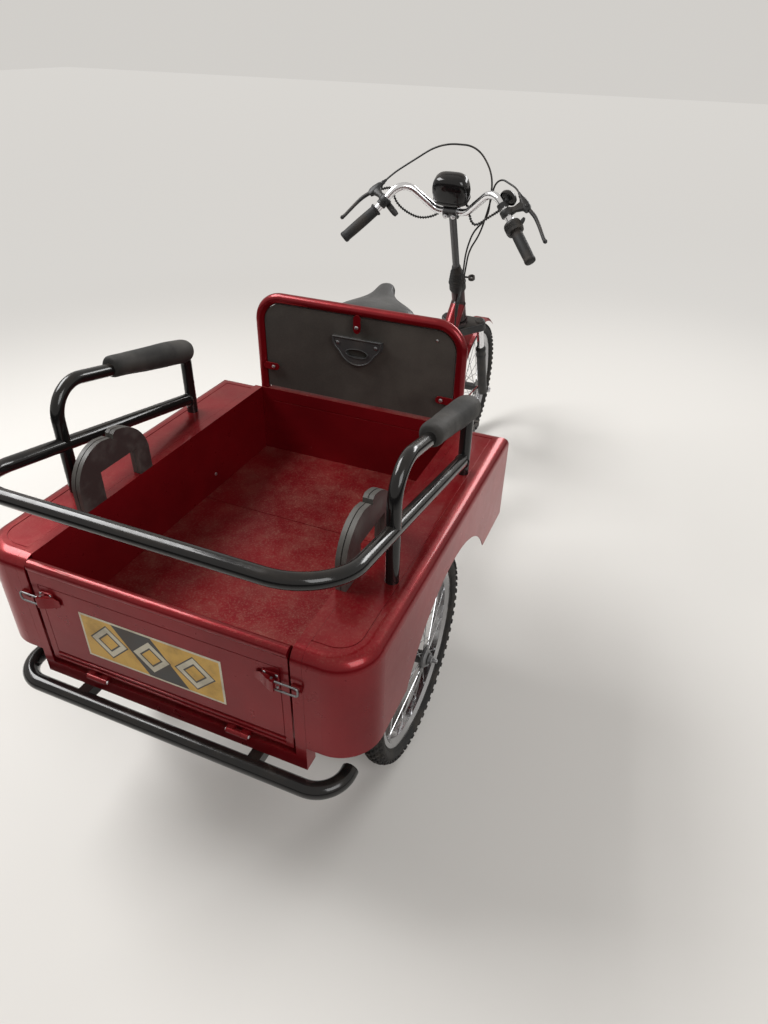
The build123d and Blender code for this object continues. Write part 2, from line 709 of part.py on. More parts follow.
# Sections of the saddle as (share of its length, half width, low z below the top, high z below the top)
saddle_cuts = [
    (0.00, saddle_half * 0.72, saddle_t * 0.75, saddle_t * 0.12),
    (0.16, saddle_half, saddle_t, 0.0),
    (0.50, saddle_half * 0.50, saddle_t * 0.86, saddle_t * 0.08),
    (0.80, saddle_nose, saddle_t * 0.76, saddle_t * 0.02),
    (1.00, saddle_nose * 0.62, saddle_t * 0.70, saddle_t * 0.16),
]
with BuildPart() as saddle_form:
    for share, half_w, low, high in saddle_cuts:
        cut_plane = Plane(origin=(0, saddle_y + share * saddle_len, saddle_top_z), x_dir=(1, 0, 0), z_dir=(0, -1, 0))
        with BuildSketch(cut_plane):
            with Locations((0, -(low + high) / 2)):
                RectangleRounded(2 * half_w, low - high, (low - high) * 0.36)
    loft()

saddle_low_z = saddle_top_z - saddle_t
post_rise = (saddle_low_z - 16 - seat_top.Z) / seat_dir.Z
post_head = seat_top + seat_dir * post_rise
saddle_swing = Axis((0, post_head.Y, 0), (0, 0, 1))
with BuildPart() as saddle:
    add(saddle_form.part.rotate(saddle_swing, saddle_turn))
save(saddle, "saddle")

with BuildPart() as saddle_seat:
    add(block(-24, 24, post_head.Y - 22, post_head.Y + 22, saddle_low_z - 24, saddle_low_z - 6))
    for side in (-1, 1):
        add(rod((side * 18, post_head.Y + 15, saddle_low_z - 15), (side * 55, saddle_y + 55, saddle_low_z - 46), 4))
        add(rod((side * 55, saddle_y + 55, saddle_low_z - 50), (side * 55, saddle_y + 55, saddle_low_z + 4), 15))
        add(rod((side * 16, post_head.Y - 10, saddle_low_z - 10),
                (side * 14, saddle_y + saddle_len * 0.8, saddle_top_z - saddle_t * 0.74), 4))
with BuildPart() as seat_post:
    add(rod(seat_top - seat_dir * 100, post_head, seat_post_r))
    add(saddle_seat.part.rotate(saddle_swing, saddle_turn))
    add(saddle.part, mode=Mode.SUBTRACT)
save(seat_post, "seat_post")


# Crankset: axle, arms, chainring and pedals turn together
with BuildPart() as crankset:
    turn = radians(crank_deg)
    reach = Vector(0, cos(turn), sin(turn)) * crank_len
    hub_at = Vector(0, crank_y, crank_z)
    arm_x = chain_x + chain_w / 2 + 6
    add(rod((-arm_x - 10, crank_y, crank_z), (arm_x + 10, crank_y, crank_z), axle_r))
    with BuildSketch(Plane(origin=(chain_x - 1.5, crank_y, crank_z), x_dir=(0, 1, 0), z_dir=(1, 0, 0))):
        Circle(ring_r)
        with PolarLocations(ring_r * 0.60, ring_arms):
            Circle(ring_r * 0.22, mode=Mode.SUBTRACT)
    extrude(amount=3)
    add(rod((chain_x, crank_y, crank_z), (arm_x + 2, crank_y, crank_z), 18))
    for side in (-1, 1):
        x = side * arm_x
        with BuildSketch(Plane(origin=(x, crank_y, crank_z), x_dir=(0, cos(turn), sin(turn)), z_dir=(1, 0, 0))):
            with Locations((side * crank_len / 2, 0)):
                SlotCenterToCenter(crank_len, 26)
        extrude(amount=side * 10)
        tip = hub_at + reach * side
        add(rod((x + side * 5, tip.Y, tip.Z), (x + side * 105, tip.Y, tip.Z), 6))
        for edge_y in (-1, 1):
            add(block(*sorted((x + side * 16, x + side * 102)), tip.Y + edge_y * 27 - 7, tip.Y + edge_y * 27 + 7,
                      tip.Z - 10, tip.Z + 10))
        for across in (18, 94):
            add(block(*sorted((x + side * across, x + side * (across + 7))), tip.Y - 28, tip.Y + 28,
                      tip.Z - 8, tip.Z + 8))
save(crankset, "crankset")

# Chain: one closed band round the chainring and the axle's sprocket
band_dir = Vector(0, crank_y - rear_axle_y, crank_z - tyre_r)
band_len = band_dir.length
band_plane = Plane(origin=(chain_x - chain_w / 2, rear_axle_y, tyre_r), x_dir=band_dir.normalized(), z_dir=(1, 0, 0))


def belt_sketch(extra):
    """Outline of a taut band round both sprockets, grown by extra."""
    with BuildSketch(band_plane) as outline:
        Circle(sprocket_r + extra)
        with Locations((band_len, 0)):
            Circle(ring_r + 1 + extra)
        make_hull()
    return outline.sketch


with BuildPart() as chain:
    extrude(belt_sketch(chain_t), amount=chain_w, dir=(1, 0, 0))
    extrude(belt_sketch(0), amount=chain_w, dir=(1, 0, 0), mode=Mode.SUBTRACT)
save(chain, "chain")

# Front fork: crown with steerer, bright upper tubes, lower legs with the wheel's axle
crown_top = crown_s + crown_h
with BuildPart() as fork_crown:
    with BuildSketch(steer_plane.offset(crown_s)):
        Circle(24)
        with Locations((leg_half, leg_ahead), (-leg_half, leg_ahead)):
            Circle(leg_r + 3)
        make_hull()
    extrude(amount=crown_h)
    fillet(fork_crown.faces().sort_by(Axis.Z)[-1].edges(), radius=6)
    add(rod(on_axis(crown_top - 10), on_axis(crown_top + 8), steerer_r + 5))
    add(rod(on_axis(crown_top - 10), on_axis(head_top_s + headset_h), steerer_r))
save(fork_crown, "fork_crown")

with BuildPart() as fork_uppers:
    for side in (-1, 1):
        add(rod(on_axis(leg_top_s, leg_ahead, side * leg_half), on_axis(crown_s, leg_ahead, side * leg_half), stanchion_r))
save(fork_uppers, "fork_uppers")

with BuildPart() as fork_legs:
    for side in (-1, 1):
        add(rod(on_axis(6, leg_ahead, side * leg_half), on_axis(leg_top_s, leg_ahead, side * leg_half), leg_r))
        tab_x = side * leg_half - 4
        with BuildSketch(Plane(origin=(tab_x, steer_foot.Y, steer_foot.Z), x_dir=steer_plane.y_dir, z_dir=(1, 0, 0))):
            with Locations((rake, 0)):
                Circle(14)
            with Locations((leg_ahead, 26)):
                Circle(14)
            make_hull()
        extrude(amount=8)
        nut_x = sorted((side * (leg_half - 14), side * (leg_half + 18)))
        add(rod((nut_x[0], front_axle_y, tyre_r), (nut_x[1], front_axle_y, tyre_r), 10))
    add(rod((-leg_half, front_axle_y, tyre_r), (leg_half, front_axle_y, tyre_r), front_axle_r))
save(fork_legs, "fork_legs")

# Stem with its locknut and bar clamp
clamp_s = (clamp_z - steer_foot.Z + clamp_back * sin(tilt)) / cos(tilt)
clamp_at = on_axis(clamp_s, -clamp_back)
with BuildPart() as stem:
    add(rod(on_axis(head_top_s + seat_gap), on_axis(head_top_s + headset_h), head_r))
    add(rod(on_axis(head_top_s), on_axis(head_top_s + headset_h), steerer_r), mode=Mode.SUBTRACT)
    add(rod(on_axis(head_top_s + headset_h), on_axis(clamp_s), stem_r))
    add(rod(clamp_at - Vector(clamp_w / 2, 0, 0), clamp_at + Vector(clamp_w / 2, 0, 0), clamp_r))
    add(rod(clamp_at - Vector(clamp_w, 0, 0), clamp_at + Vector(clamp_w, 0, 0), bar_r + run_clear), mode=Mode.SUBTRACT)
save(stem, "stem")

# Handlebar: raised, swept back and drooping to the grips
def bar_points(side):
    """Corner points of one half of the bar, from the clamp outwards."""
    return [
        Vector(side * bar_flat_x, clamp_at.Y, clamp_at.Z),
        Vector(side * bar_rise_x, clamp_at.Y - bar_rise_back, clamp_at.Z + bar_rise_z),
        Vector(side * grip_in_x, clamp_at.Y - grip_in_back, grip_in_z),
        Vector(side * bar_end_x, clamp_at.Y - bar_end_back, bar_end_z),
    ]


left_half, right_half = bar_points(-1), bar_points(1)
with BuildPart() as handlebar:
    add(bent_rod(left_half[::-1] + right_half, [60, 48, 40, 40, 48, 60], bar_r))
save(handlebar, "handlebar")

with BuildPart() as grips:
    for half in (left_half, right_half):
        along = (half[3] - half[2]).normalized()
        add(rod(half[3] - along * grip_len, half[3] + along * 4, grip_r))
    for half in (left_half, right_half):
        along = (half[3] - half[2]).normalized()
        add(rod(half[3] - along * (grip_len + 1), half[3] + along * seat_gap, bar_r + seat_gap), mode=Mode.SUBTRACT)
save(grips, "grips")

# Brake levers: a clamp ring, a perch raised ahead of the bar and a curved blade beside the grip.
# The left one has a switch below its ring, the right one a throttle ring and a bell
lever_pairs = []
perches = {}
for name, side in sides:
    half = bar_points(side)
    bar_run = (half[2] - half[1]).normalized()
    ring_at = half[1] + (half[2] - half[1]) * 0.74
    along = (half[3] - half[2]).normalized()
    ahead = (Vector(0, 1, 0) - along * along.Y).normalized()
    outward = Vector(along.Z * -side, 0, along.X * side).normalized()
    reach_dir = ahead * cos(radians(lever_lift)) + outward * sin(radians(lever_lift))
    perch = ring_at + reach_dir * perch_reach
    with BuildPart() as brake_lever:
        add(rod(ring_at - bar_run * 9, ring_at + bar_run * 9, bar_r + 6))
        add(rod(ring_at + reach_dir * 13, perch, perch_r - 2.5))
        add(rod(perch - along * 24, perch + along * 22, perch_r))
        add(bent_rod([perch + along * 15, perch + along * 40 + reach_dir * 8, perch + along * 88 + reach_dir * 8,
                      perch + along * 126 + reach_dir * 2], [30, 60], lever_r))
        grip_start = half[3] - along * grip_len
        if side > 0:
            add(rod(grip_start - along * 2, grip_start + along * 30, grip_r + 9))
            add(rod(grip_start - along * 20, grip_start + along * 50, grip_r + seat_gap), mode=Mode.SUBTRACT)
        else:
            add(rod(ring_at - outward * 13, ring_at - outward * (20 + switch_len), 8))
        add(rod(ring_at - bar_run * 14, ring_at + bar_run * 14, bar_r + run_clear), mode=Mode.SUBTRACT)
    lever_pairs.append(brake_lever.part)
    perches[name] = (perch - along * 24, along)

# Bell on the right rise of the bar: a dome on a short stalk and a clamp
bell_run = (right_half[2] - right_half[1]).normalized()
bell_foot = right_half[1] + (right_half[2] - right_half[1]) * 0.52
bell_dir = Vector(0.3, 0.7, 0.65).normalized()
with BuildPart() as bell:
    add(rod(bell_foot + bell_dir * 24, bell_foot + bell_dir * 42, bell_r))
    bell_rims = bell.edges().filter_by(GeomType.CIRCLE)
    fillet(bell_rims.sort_by(lambda e: e.arc_center.dot(bell_dir))[-1], radius=13)
    add(rod(bell_foot - bell_run * 7, bell_foot + bell_run * 7, bar_r + 5))
    add(rod(bell_foot + bell_dir * 13, bell_foot + bell_dir * 30, 6))
    add(rod(bell_foot - bell_run * 40, bell_foot + bell_run * 40, bar_r + run_clear), mode=Mode.SUBTRACT)

with BuildPart() as brake_levers:
    add(lever_pairs)
    add(bell.part)
save(brake_levers, "brake_levers")

# Lamp and display pod on the bar clamp: wide at its foot, narrower at its round top
pod_lean = radians(pod_tilt)
pod_up = Vector(0, -sin(pod_lean), cos(pod_lean))
pod_foot = clamp_at + Vector(0, pod_ahead, 0) + pod_up * (clamp_r + pod_lift)
pod_plane = Plane(origin=pod_foot, x_dir=(1, 0, 0), z_dir=pod_up)
with BuildPart() as lamp_pod:
    with BuildSketch(pod_plane):
        RectangleRounded(pod_w, pod_d, pod_d * 0.36)
    with BuildSketch(pod_plane.offset(pod_h * 0.45)):
        RectangleRounded(pod_w * 0.98, pod_d, pod_d * 0.40)
    with BuildSketch(pod_plane.offset(pod_h)):
        RectangleRounded(pod_w * 0.66, pod_d * 0.72, pod_d * 0.33)
    loft()
    fillet(lamp_pod.faces().sort_by(Axis.Z)[-1].edges(), radius=pod_d * 0.16)
    with Locations(pod_plane):
        Box(clamp_w, pod_d * 0.4, 2 * clamp_r)
    add(rod(clamp_at - Vector(clamp_w, 0, 0), clamp_at + Vector(clamp_w, 0, 0), clamp_r + seat_gap), mode=Mode.SUBTRACT)
save(lamp_pod, "lamp_pod")

# Mudguard over the front wheel with its stays
def spoke_point(radius, angle, x=0.0):
    """Point at a radius and angle about the front hub, seen from the right."""
    a = radians(angle)
    return Vector(x, front_axle_y + radius * cos(a), tyre_r + radius * sin(a))


guard_dir = spoke_point(1, guard_front_deg) - spoke_point(0, 0)
guard_plane = Plane(origin=(0, front_axle_y, tyre_r), x_dir=(1, 0, 0), z_dir=Vector(1, 0, 0).cross(guard_dir))
with BuildPart() as front_mudguard:
    with BuildSketch(guard_plane):
        with BuildLine():
            Polyline((-guard_half, guard_r - 10), (-guard_half + 9, guard_r), (guard_half - 9, guard_r),
                     (guard_half, guard_r - 10), (guard_half + guard_t, guard_r - 9),
                     (guard_half - 8.4, guard_r + guard_t), (-guard_half + 8.4, guard_r + guard_t),
                     (-guard_half - guard_t, guard_r - 9), close=True)
        make_face()
    revolve(axis=Axis((0, front_axle_y, tyre_r), (1, 0, 0)), revolution_arc=guard_rear_deg - guard_front_deg)
    for side in (-1, 1):
        stay_x = leg_half - leg_r - 2.6 - seat_gap
        add(rod(spoke_point(guard_r - 2, 176, side * (guard_half + 0.5)), on_axis(30, leg_ahead, side * stay_x), 2.5))
    guard_s = sqrt(guard_r * guard_r - (rake - guard_bolt) ** 2)
    add(rod(on_axis(guard_s, guard_bolt), on_axis(crown_s - seat_gap, guard_bolt), 6))
save(front_mudguard, "front_mudguard")

# Side bracket at the headset with a ring for the cables
with BuildPart() as cable_ring:
    ring_x = 50.0
    ring_mid = on_axis(head_top_s + headset_h + 8, 0, ring_x)
    add(rod(on_axis(head_top_s + headset_h + 3), on_axis(head_top_s + headset_h + 13), stem_r + 4))
    add(rod(on_axis(head_top_s + headset_h + 8), on_axis(head_top_s + headset_h + 8, 0, ring_x - 8), 3))
    add(rod(ring_mid - steer_dir * 5, ring_mid + steer_dir * 5, 11))
    add(rod(ring_mid - steer_dir * 6, ring_mid + steer_dir * 6, 7), mode=Mode.SUBTRACT)
    add(rod(on_axis(head_top_s + headset_h), on_axis(head_top_s + headset_h + 20), stem_r + run_clear), mode=Mode.SUBTRACT)
save(cable_ring, "cable_ring")


def cable(points, radius):
    """Cable along hand-chosen points, with arcs as large as its runs allow."""
    route = [Vector(p) for p in points]
    bends = []
    for before, corner, after in zip(route, route[1:], route[2:]):
        turned = (corner - before).get_angle(after - corner)
        run = min((corner - before).length, (after - corner).length)
        bends.append(0.45 * run / tan(radians(turned) / 2))
    print("cable radii", [round(b) for b in bends])
    return bent_rod(route, bends, radius)


# Cables: offsets from the bar clamp, forward and up
def from_clamp(x, ahead, up):
    """Point measured from the middle of the bar clamp."""
    return (x, clamp_at.Y + ahead, clamp_at.Z + up)


left_exit, left_along = perches["left"]
right_exit, right_along = perches["right"]
with BuildPart() as bar_cables:
    add(cable([left_exit, left_exit - left_along * 52, from_clamp(-50, 14, 178), from_clamp(62, 12, 178),
               from_clamp(116, 8, 108), from_clamp(112, 6, -8), from_clamp(70, 10, -52), from_clamp(46, 30, -118),
               from_clamp(36, 50, -200)], cable_r))
    add(cable([right_exit, right_exit - right_along * 34, from_clamp(122, 26, 104), from_clamp(104, 32, 10),
               from_clamp(84, 34, -64), from_clamp(50, 48, -120), from_clamp(36, 70, -200)], cable_r))
save(bar_cables, "bar_cables")

clip_y = rear_axle_y + 1040
with BuildPart() as frame_cable:
    add(cable([(tube_r + cable_r, clip_y - 130, frame_low_z + 12), (tube_r + cable_r, clip_y - 10, frame_low_z + 140),
               (tube_r + cable_r, clip_y + 60, 545), (30, clip_y + 60, 660)], cable_r))
save(frame_cable, "frame_cable")

# Tailgate latches: a plate and turned lever on the door, a wire hook and its catch on the post strip
latch_y = bed_back_y + 2
catch_out = 4.0
hook_y = bed_back_y - catch_out - 5.2 - hook_r
with BuildPart() as tailgate_latches:
    for side in (-1, 1):
        add(block(*sorted((side * (latch_x - 20), side * (latch_x + 12))), latch_y - 3, latch_y, latch_z - 17, latch_z + 17))
        with BuildSketch(Plane.XY.offset(latch_z - 12)):
            with BuildLine():
                Polyline((side * (latch_x - 34), latch_y - 4), (side * (latch_x - 20), latch_y - 1),
                         (side * (latch_x + 8), latch_y - 1), (side * (latch_x + 8), hook_y - 7),
                         (side * (latch_x - 4), hook_y - 7), close=True)
            make_face()
        extrude(amount=24)
        add(bent_rod([(side * latch_x, hook_y, latch_z + 9), (side * (strip_out - 5), hook_y, latch_z + 9),
                      (side * (strip_out - 5), hook_y, latch_z - 9), (side * latch_x, hook_y, latch_z - 9)],
                     [6, 6], hook_r))
save(tailgate_latches, "tailgate_latches")

with BuildPart() as gate_catches:
    for side in (-1, 1):
        add(block(*sorted((side * (bed_half + 2), side * (strip_out - 1))), bed_back_y - catch_out, bed_back_y,
                  latch_z - 6, latch_z + 6))
save(gate_catches, "gate_catches")
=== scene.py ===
import math

import bmesh
import bpy
from mathutils import Matrix, Vector, noise


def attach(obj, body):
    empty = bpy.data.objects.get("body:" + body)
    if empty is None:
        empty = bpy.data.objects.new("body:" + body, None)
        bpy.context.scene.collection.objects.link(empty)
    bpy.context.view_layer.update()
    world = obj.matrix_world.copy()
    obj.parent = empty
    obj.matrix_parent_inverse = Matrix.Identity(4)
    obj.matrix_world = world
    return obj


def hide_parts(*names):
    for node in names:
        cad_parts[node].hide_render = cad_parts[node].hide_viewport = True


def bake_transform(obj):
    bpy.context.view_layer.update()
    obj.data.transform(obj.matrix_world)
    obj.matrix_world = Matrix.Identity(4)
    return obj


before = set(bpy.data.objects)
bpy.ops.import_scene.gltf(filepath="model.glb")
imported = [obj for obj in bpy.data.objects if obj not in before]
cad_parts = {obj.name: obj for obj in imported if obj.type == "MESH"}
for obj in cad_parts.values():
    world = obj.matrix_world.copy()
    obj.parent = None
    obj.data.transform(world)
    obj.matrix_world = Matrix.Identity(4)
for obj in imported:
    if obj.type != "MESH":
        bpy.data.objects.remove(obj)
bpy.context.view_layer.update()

# Main places in metres: +Y is forward, +X is the machine's right
REAR_Y = -0.617
FRONT_Y = 0.843
AXLE_Z = 0.250
TRACK = 0.648
BED_BACK_Y = REAR_Y - 0.435
HOOP_Y = REAR_Y + 0.397
SIDES = (("left", -1), ("right", 1))

# Steering axis: its lean, and how far the front axle stands ahead of it
HEAD_TILT = math.radians(24.0)
FORK_OFFSET = 0.054
STEER_UP = Vector((0, -math.sin(HEAD_TILT), math.cos(HEAD_TILT)))
STEER_FRONT = Vector((0, math.cos(HEAD_TILT), math.sin(HEAD_TILT)))
STEER_FOOT = Vector((0, FRONT_Y, AXLE_Z)) - STEER_FRONT * FORK_OFFSET
# Heights along it of the head tube's ends
HEAD_LOW, HEAD_TOP = 0.382, 0.556


def on_axis(height, ahead=0.0, across=0.0):
    """A point at a height along the steering axis, moved forward of it and sideways."""
    return STEER_FOOT + STEER_UP * height + STEER_FRONT * ahead + Vector((across, 0, 0))


# Camera at the photograph's viewpoint: place, turns in radians, focal length in pixels and image height
CAMERA_AT = (0.697, -1.7265, 1.4356)
YAW, PITCH, ROLL = 0.3880, -0.5983, 0.0245
FOCAL_PIXELS, IMAGE_ROWS, SENSOR_MM = 717.97, 1024.0, 36.0


def place_camera():
    """Camera that sees the part as the photograph shows it."""
    ahead = Vector((-math.sin(YAW) * math.cos(PITCH), math.cos(YAW) * math.cos(PITCH), math.sin(PITCH)))
    level = Vector((math.cos(YAW), math.sin(YAW), 0))
    up = level.cross(ahead)
    right = math.cos(ROLL) * level + math.sin(ROLL) * up
    top = -math.sin(ROLL) * level + math.cos(ROLL) * up
    data = bpy.data.cameras.new("camera")
    data.sensor_fit = "VERTICAL"
    data.sensor_height = SENSOR_MM
    data.lens = FOCAL_PIXELS * SENSOR_MM / IMAGE_ROWS
    data.clip_end = 60.0
    camera = bpy.data.objects.new("camera", data)
    camera.matrix_world = Matrix.Translation(CAMERA_AT) @ Matrix((right, top, -ahead)).transposed().to_4x4()
    bpy.context.collection.objects.link(camera)
    bpy.context.scene.camera = camera


place_camera()


class Wire:
    """An output of a shader node. Arithmetic on it adds Math nodes."""

    def __init__(self, paint, socket):
        self.paint = paint
        self.socket = socket

    def math(self, operation, *terms):
        return self.paint.node("ShaderNodeMath", {"operation": operation}, dict(enumerate(terms)))

    def __add__(self, other):
        return self.math("ADD", self, other)

    def __sub__(self, other):
        return self.math("SUBTRACT", self, other)

    def __rsub__(self, other):
        return self.math("SUBTRACT", other, self)

    def __mul__(self, other):
        return self.math("MULTIPLY", self, other)

    __radd__ = __add__
    __rmul__ = __mul__

    def larger(self, other):
        return self.math("MAXIMUM", self, other)

    def unsigned(self):
        return self.math("ABSOLUTE", self)

    def above(self, low, high):
        """0 below low, 1 above high and smooth between them."""
        return self.paint.node("ShaderNodeMapRange", {"interpolation_type": "SMOOTHSTEP"},
                               {0: self, 1: low, 2: high, 3: 0.0, 4: 1.0})


class Paint:
    """A material or world, its node tree and the shader that its finish goes to."""

    def __init__(self, name, kind=bpy.data.materials, shader="Principled BSDF"):
        self.block = kind.new(name)
        self.block.use_nodes = True
        self.tree = self.block.node_tree
        self.shader = self.tree.nodes[shader]
        self.place = self.node("ShaderNodeTexCoord", out="Object")

    def node(self, kind, settings=None, inputs=None, out=0):
        made = self.tree.nodes.new(kind)
        for key, value in (settings or {}).items():
            setattr(made, key, value)
        for key, value in (inputs or {}).items():
            self.feed(made.inputs[key], value)
        return Wire(self, made.outputs[out])

    def feed(self, socket, value):
        if isinstance(value, Wire):
            self.tree.links.new(value.socket, socket)
        else:
            socket.default_value = value

    def vector(self, operation, inputs, out=0):
        return self.node("ShaderNodeVectorMath", {"operation": operation}, inputs, out)

    def noise(self, scale, detail=3.0, rough=0.55, stretch=None):
        where = self.place
        if stretch:
            where = self.node("ShaderNodeMapping", None, {"Vector": where, "Scale": stretch})
        return self.node("ShaderNodeTexNoise", None,
                         {"Vector": where, "Scale": scale, "Detail": detail, "Roughness": rough})

    def cells(self, scale, feature="F1"):
        return self.node("ShaderNodeTexVoronoi", {"feature": feature}, {"Vector": self.place, "Scale": scale})

    def along(self, axis):
        """The place along X, Y or Z, in metres."""
        return self.node("ShaderNodeSeparateXYZ", None, {0: self.place}, axis)

    def facing(self, axis):
        """How far the surface faces along X, Y or Z."""
        normal = self.node("ShaderNodeNewGeometry", out="Normal")
        return self.node("ShaderNodeSeparateXYZ", None, {0: normal}, axis)

    def mix(self, first, second, share):
        return self.node("ShaderNodeMix", {"data_type": "RGBA"}, {0: share, 6: first, 7: second}, 2)

    def bump(self, height, strength, distance):
        return self.node("ShaderNodeBump", None,
                         {"Height": height, "Strength": strength, "Distance": distance}, "Normal")

    def finish(self, **sockets):
        for key, value in sockets.items():
            self.feed(self.shader.inputs[key.replace("_", " ")], value)
        return self


def colour(red, green, blue):
    return (red, green, blue, 1.0)


DUST = colour(0.30, 0.225, 0.16)
BARE_EDGE = colour(0.42, 0.20, 0.17)
RUST = colour(0.23, 0.12, 0.06)


def neck_dark_and_shade_mask(paint):
    """1 on the head tube and 0 off it, from the distance to the steering axis. It carries the head tube's near-black,
    partly its own dark tone and partly painted shade.
    """
    arm = paint.vector("SUBTRACT", {0: paint.place, 1: STEER_FOOT})
    height = paint.vector("DOT_PRODUCT", {0: arm, 1: STEER_UP}, "Value")
    foot = paint.vector("SCALE", {0: STEER_UP, "Scale": height})
    off = paint.vector("DISTANCE", {0: arm, 1: foot}, "Value")
    low, top = HEAD_LOW - 0.003, HEAD_TOP + 0.003
    return off.above(0.0290, 0.0280) * height.above(low - 0.001, low + 0.001) * height.above(top + 0.001, top - 0.001)


def candy_red(name, dust_share, scuffs, haze=0.0):
    """Metallic red lacquer under clear coat, with flakes, ripples, settled dust and scuffs."""
    paint = Paint(name)
    flake = paint.noise(1500.0, 2.0).above(0.45, 0.72)
    cloud = paint.noise(5.0, 4.0).above(0.3, 0.75)
    deep = paint.mix(colour(0.120, 0.002, 0.005), colour(0.185, 0.004, 0.008), cloud)
    red = paint.mix(deep, colour(0.36, 0.020, 0.024), flake * 0.25)
    patches = paint.noise(15.0, 8.0, 0.75).above(0.38, 0.80)
    grains = paint.noise(260.0, 3.0).above(0.48, 0.72)
    dust = paint.facing(2).above(0.35, 0.95) * (patches * 0.55 + grains * 0.45) * dust_share
    scratch = paint.noise(26.0, 5.0, 0.7, (1.0, 9.0, 1.0)).above(0.70, 0.80) * scuffs
    speck = paint.cells(420.0).above(0.10, 0.05) * paint.noise(30.0).above(0.55, 0.7) * scuffs
    mark = scratch.larger(speck)
    shown = paint.mix(paint.mix(red, DUST, dust), BARE_EDGE, mark * 0.55)
    # Head tube painted near-black: partly its own dark tone, partly painted shade
    if name == "frame_red":
        shown = paint.mix(shown, colour(0.014, 0.013, 0.013), neck_dark_and_shade_mask(paint))
    rough = paint.noise(34.0, 4.0) * 0.10 + (0.24 + haze) + dust * 0.5 + mark * 0.2
    ripple = paint.noise(7.0, 2.0) + paint.noise(95.0, 2.0) * 0.06
    return paint.finish(Base_Color=shown, Metallic=0.45 - dust * 0.45, Roughness=rough,
                        Coat_Weight=(0.28 - haze) - dust * 0.1, Coat_Roughness=0.08 + haze * 0.6,
                        Specular_IOR_Level=0.28, Specular_Tint=colour(1.0, 0.5, 0.5),
                        Normal=paint.bump(ripple, 0.35, 0.004))


def gloss_black(name):
    """Thick black enamel on bent tube, with long highlights and a film of dust on top."""
    paint = Paint(name)
    film = paint.facing(2).above(0.2, 1.0) * paint.noise(22.0, 5.0).above(0.35, 0.8)
    chip = paint.cells(260.0).above(0.08, 0.04) * paint.noise(14.0).above(0.62, 0.72)
    shade = paint.mix(colour(0.007, 0.0065, 0.0065), DUST, film * 0.05)
    shade = paint.mix(shade, colour(0.22, 0.19, 0.17), chip * 0.6)
    rough = 0.10 + paint.noise(60.0, 4.0) * 0.09 + film * 0.18
    return paint.finish(Base_Color=shade, Roughness=rough, Coat_Weight=0.28 - film * 0.15,
                        Coat_Roughness=0.05, Specular_IOR_Level=0.24,
                        Normal=paint.bump(paint.noise(40.0, 2.0), 0.10, 0.002))


def satin_black(name, base=0.020, rough=0.42):
    """Satin black paint or anodising, greyer with road dust in patches and on top."""
    paint = Paint(name)
    film = paint.noise(28.0, 5.0).above(0.42, 0.75) * 0.55 + paint.facing(2).above(0.3, 1.0) * 0.35
    shade = paint.mix(colour(base, base, base * 1.02), DUST, film * 0.16)
    return paint.finish(Base_Color=shade, Roughness=rough + film * 0.25, Specular_IOR_Level=0.3,
                        Normal=paint.bump(paint.noise(420.0, 2.0), 0.12, 0.0006))


def plating_wear(paint, stain):
    """Haze of fine scratches, and freckles of rust in scattered patches."""
    haze = paint.noise(18.0, 5.0).above(0.35, 0.75)
    freckle = paint.cells(310.0).above(0.16, 0.06) * paint.noise(24.0, 4.0).above(0.55, 0.70) * stain
    return haze, freckle


def bright_metal(name, base, rough, stain):
    """Plated or polished metal, hazed by fine scratches and freckled with stains."""
    paint = Paint(name)
    haze, freckle = plating_wear(paint, stain)
    hair = paint.noise(90.0, 4.0, 0.6, (1.0, 1.0, 14.0))
    shade = paint.mix(colour(base, base, base * 1.02), RUST, freckle)
    return paint.finish(Base_Color=shade, Metallic=1.0 - freckle * 0.7,
                        Roughness=rough + haze * 0.10 + hair * 0.07 + freckle * 0.4,
                        Normal=paint.bump(hair, 0.05, 0.0006))


def plated_wheel(name):
    """Plated rim and spokes round a dark hub."""
    paint = Paint(name)
    hubs = None
    for y in (FRONT_Y, REAR_Y):
        arm = paint.node("ShaderNodeCombineXYZ", None, {1: paint.along(1) - y, 2: paint.along(2) - AXLE_Z})
        hub = paint.vector("LENGTH", {0: arm}, "Value").above(0.0335, 0.0325)
        hubs = hubs.larger(hub) if hubs else hub
    haze, freckle = plating_wear(paint, 0.5)
    shade = paint.mix(colour(0.44, 0.44, 0.45), colour(0.18, 0.09, 0.045), freckle)
    shade = paint.mix(shade, colour(0.055, 0.053, 0.052), hubs)
    return paint.finish(Base_Color=shade, Metallic=1.0 - freckle * 0.7 - hubs * 0.5,
                        Roughness=0.16 + haze * 0.12 + hubs * 0.25, Normal=paint.bump(haze, 0.05, 0.0006))


def tyre_rubber(name):
    """Black tyre rubber, browner where it is dusty, with a fine grain."""
    paint = Paint(name)
    dirt = paint.noise(20.0, 6.0, 0.65).above(0.40, 0.78)
    grain = paint.noise(900.0, 2.0)
    shade = paint.mix(colour(0.012, 0.012, 0.012), colour(0.080, 0.064, 0.050), dirt * 0.4)
    return paint.finish(Base_Color=shade, Roughness=0.66 + grain * 0.22, Specular_IOR_Level=0.3,
                        Normal=paint.bump(grain, 0.25, 0.0007))


def foam_rubber(name):
    """Closed-cell foam: pores, handling shine and greyed high places."""
    paint = Paint(name)
    pores = paint.cells(1500.0)
    dents = paint.noise(34.0, 4.0)
    grey = paint.noise(12.0, 5.0).above(0.35, 0.75)
    shade = paint.mix(colour(0.014, 0.0135, 0.0125), colour(0.060, 0.054, 0.048), grey * 0.6)
    return paint.finish(Base_Color=shade, Roughness=0.72 - grey * 0.16, Specular_IOR_Level=0.3,
                        Normal=paint.bump(pores * 0.4 + dents, 0.45, 0.0016))


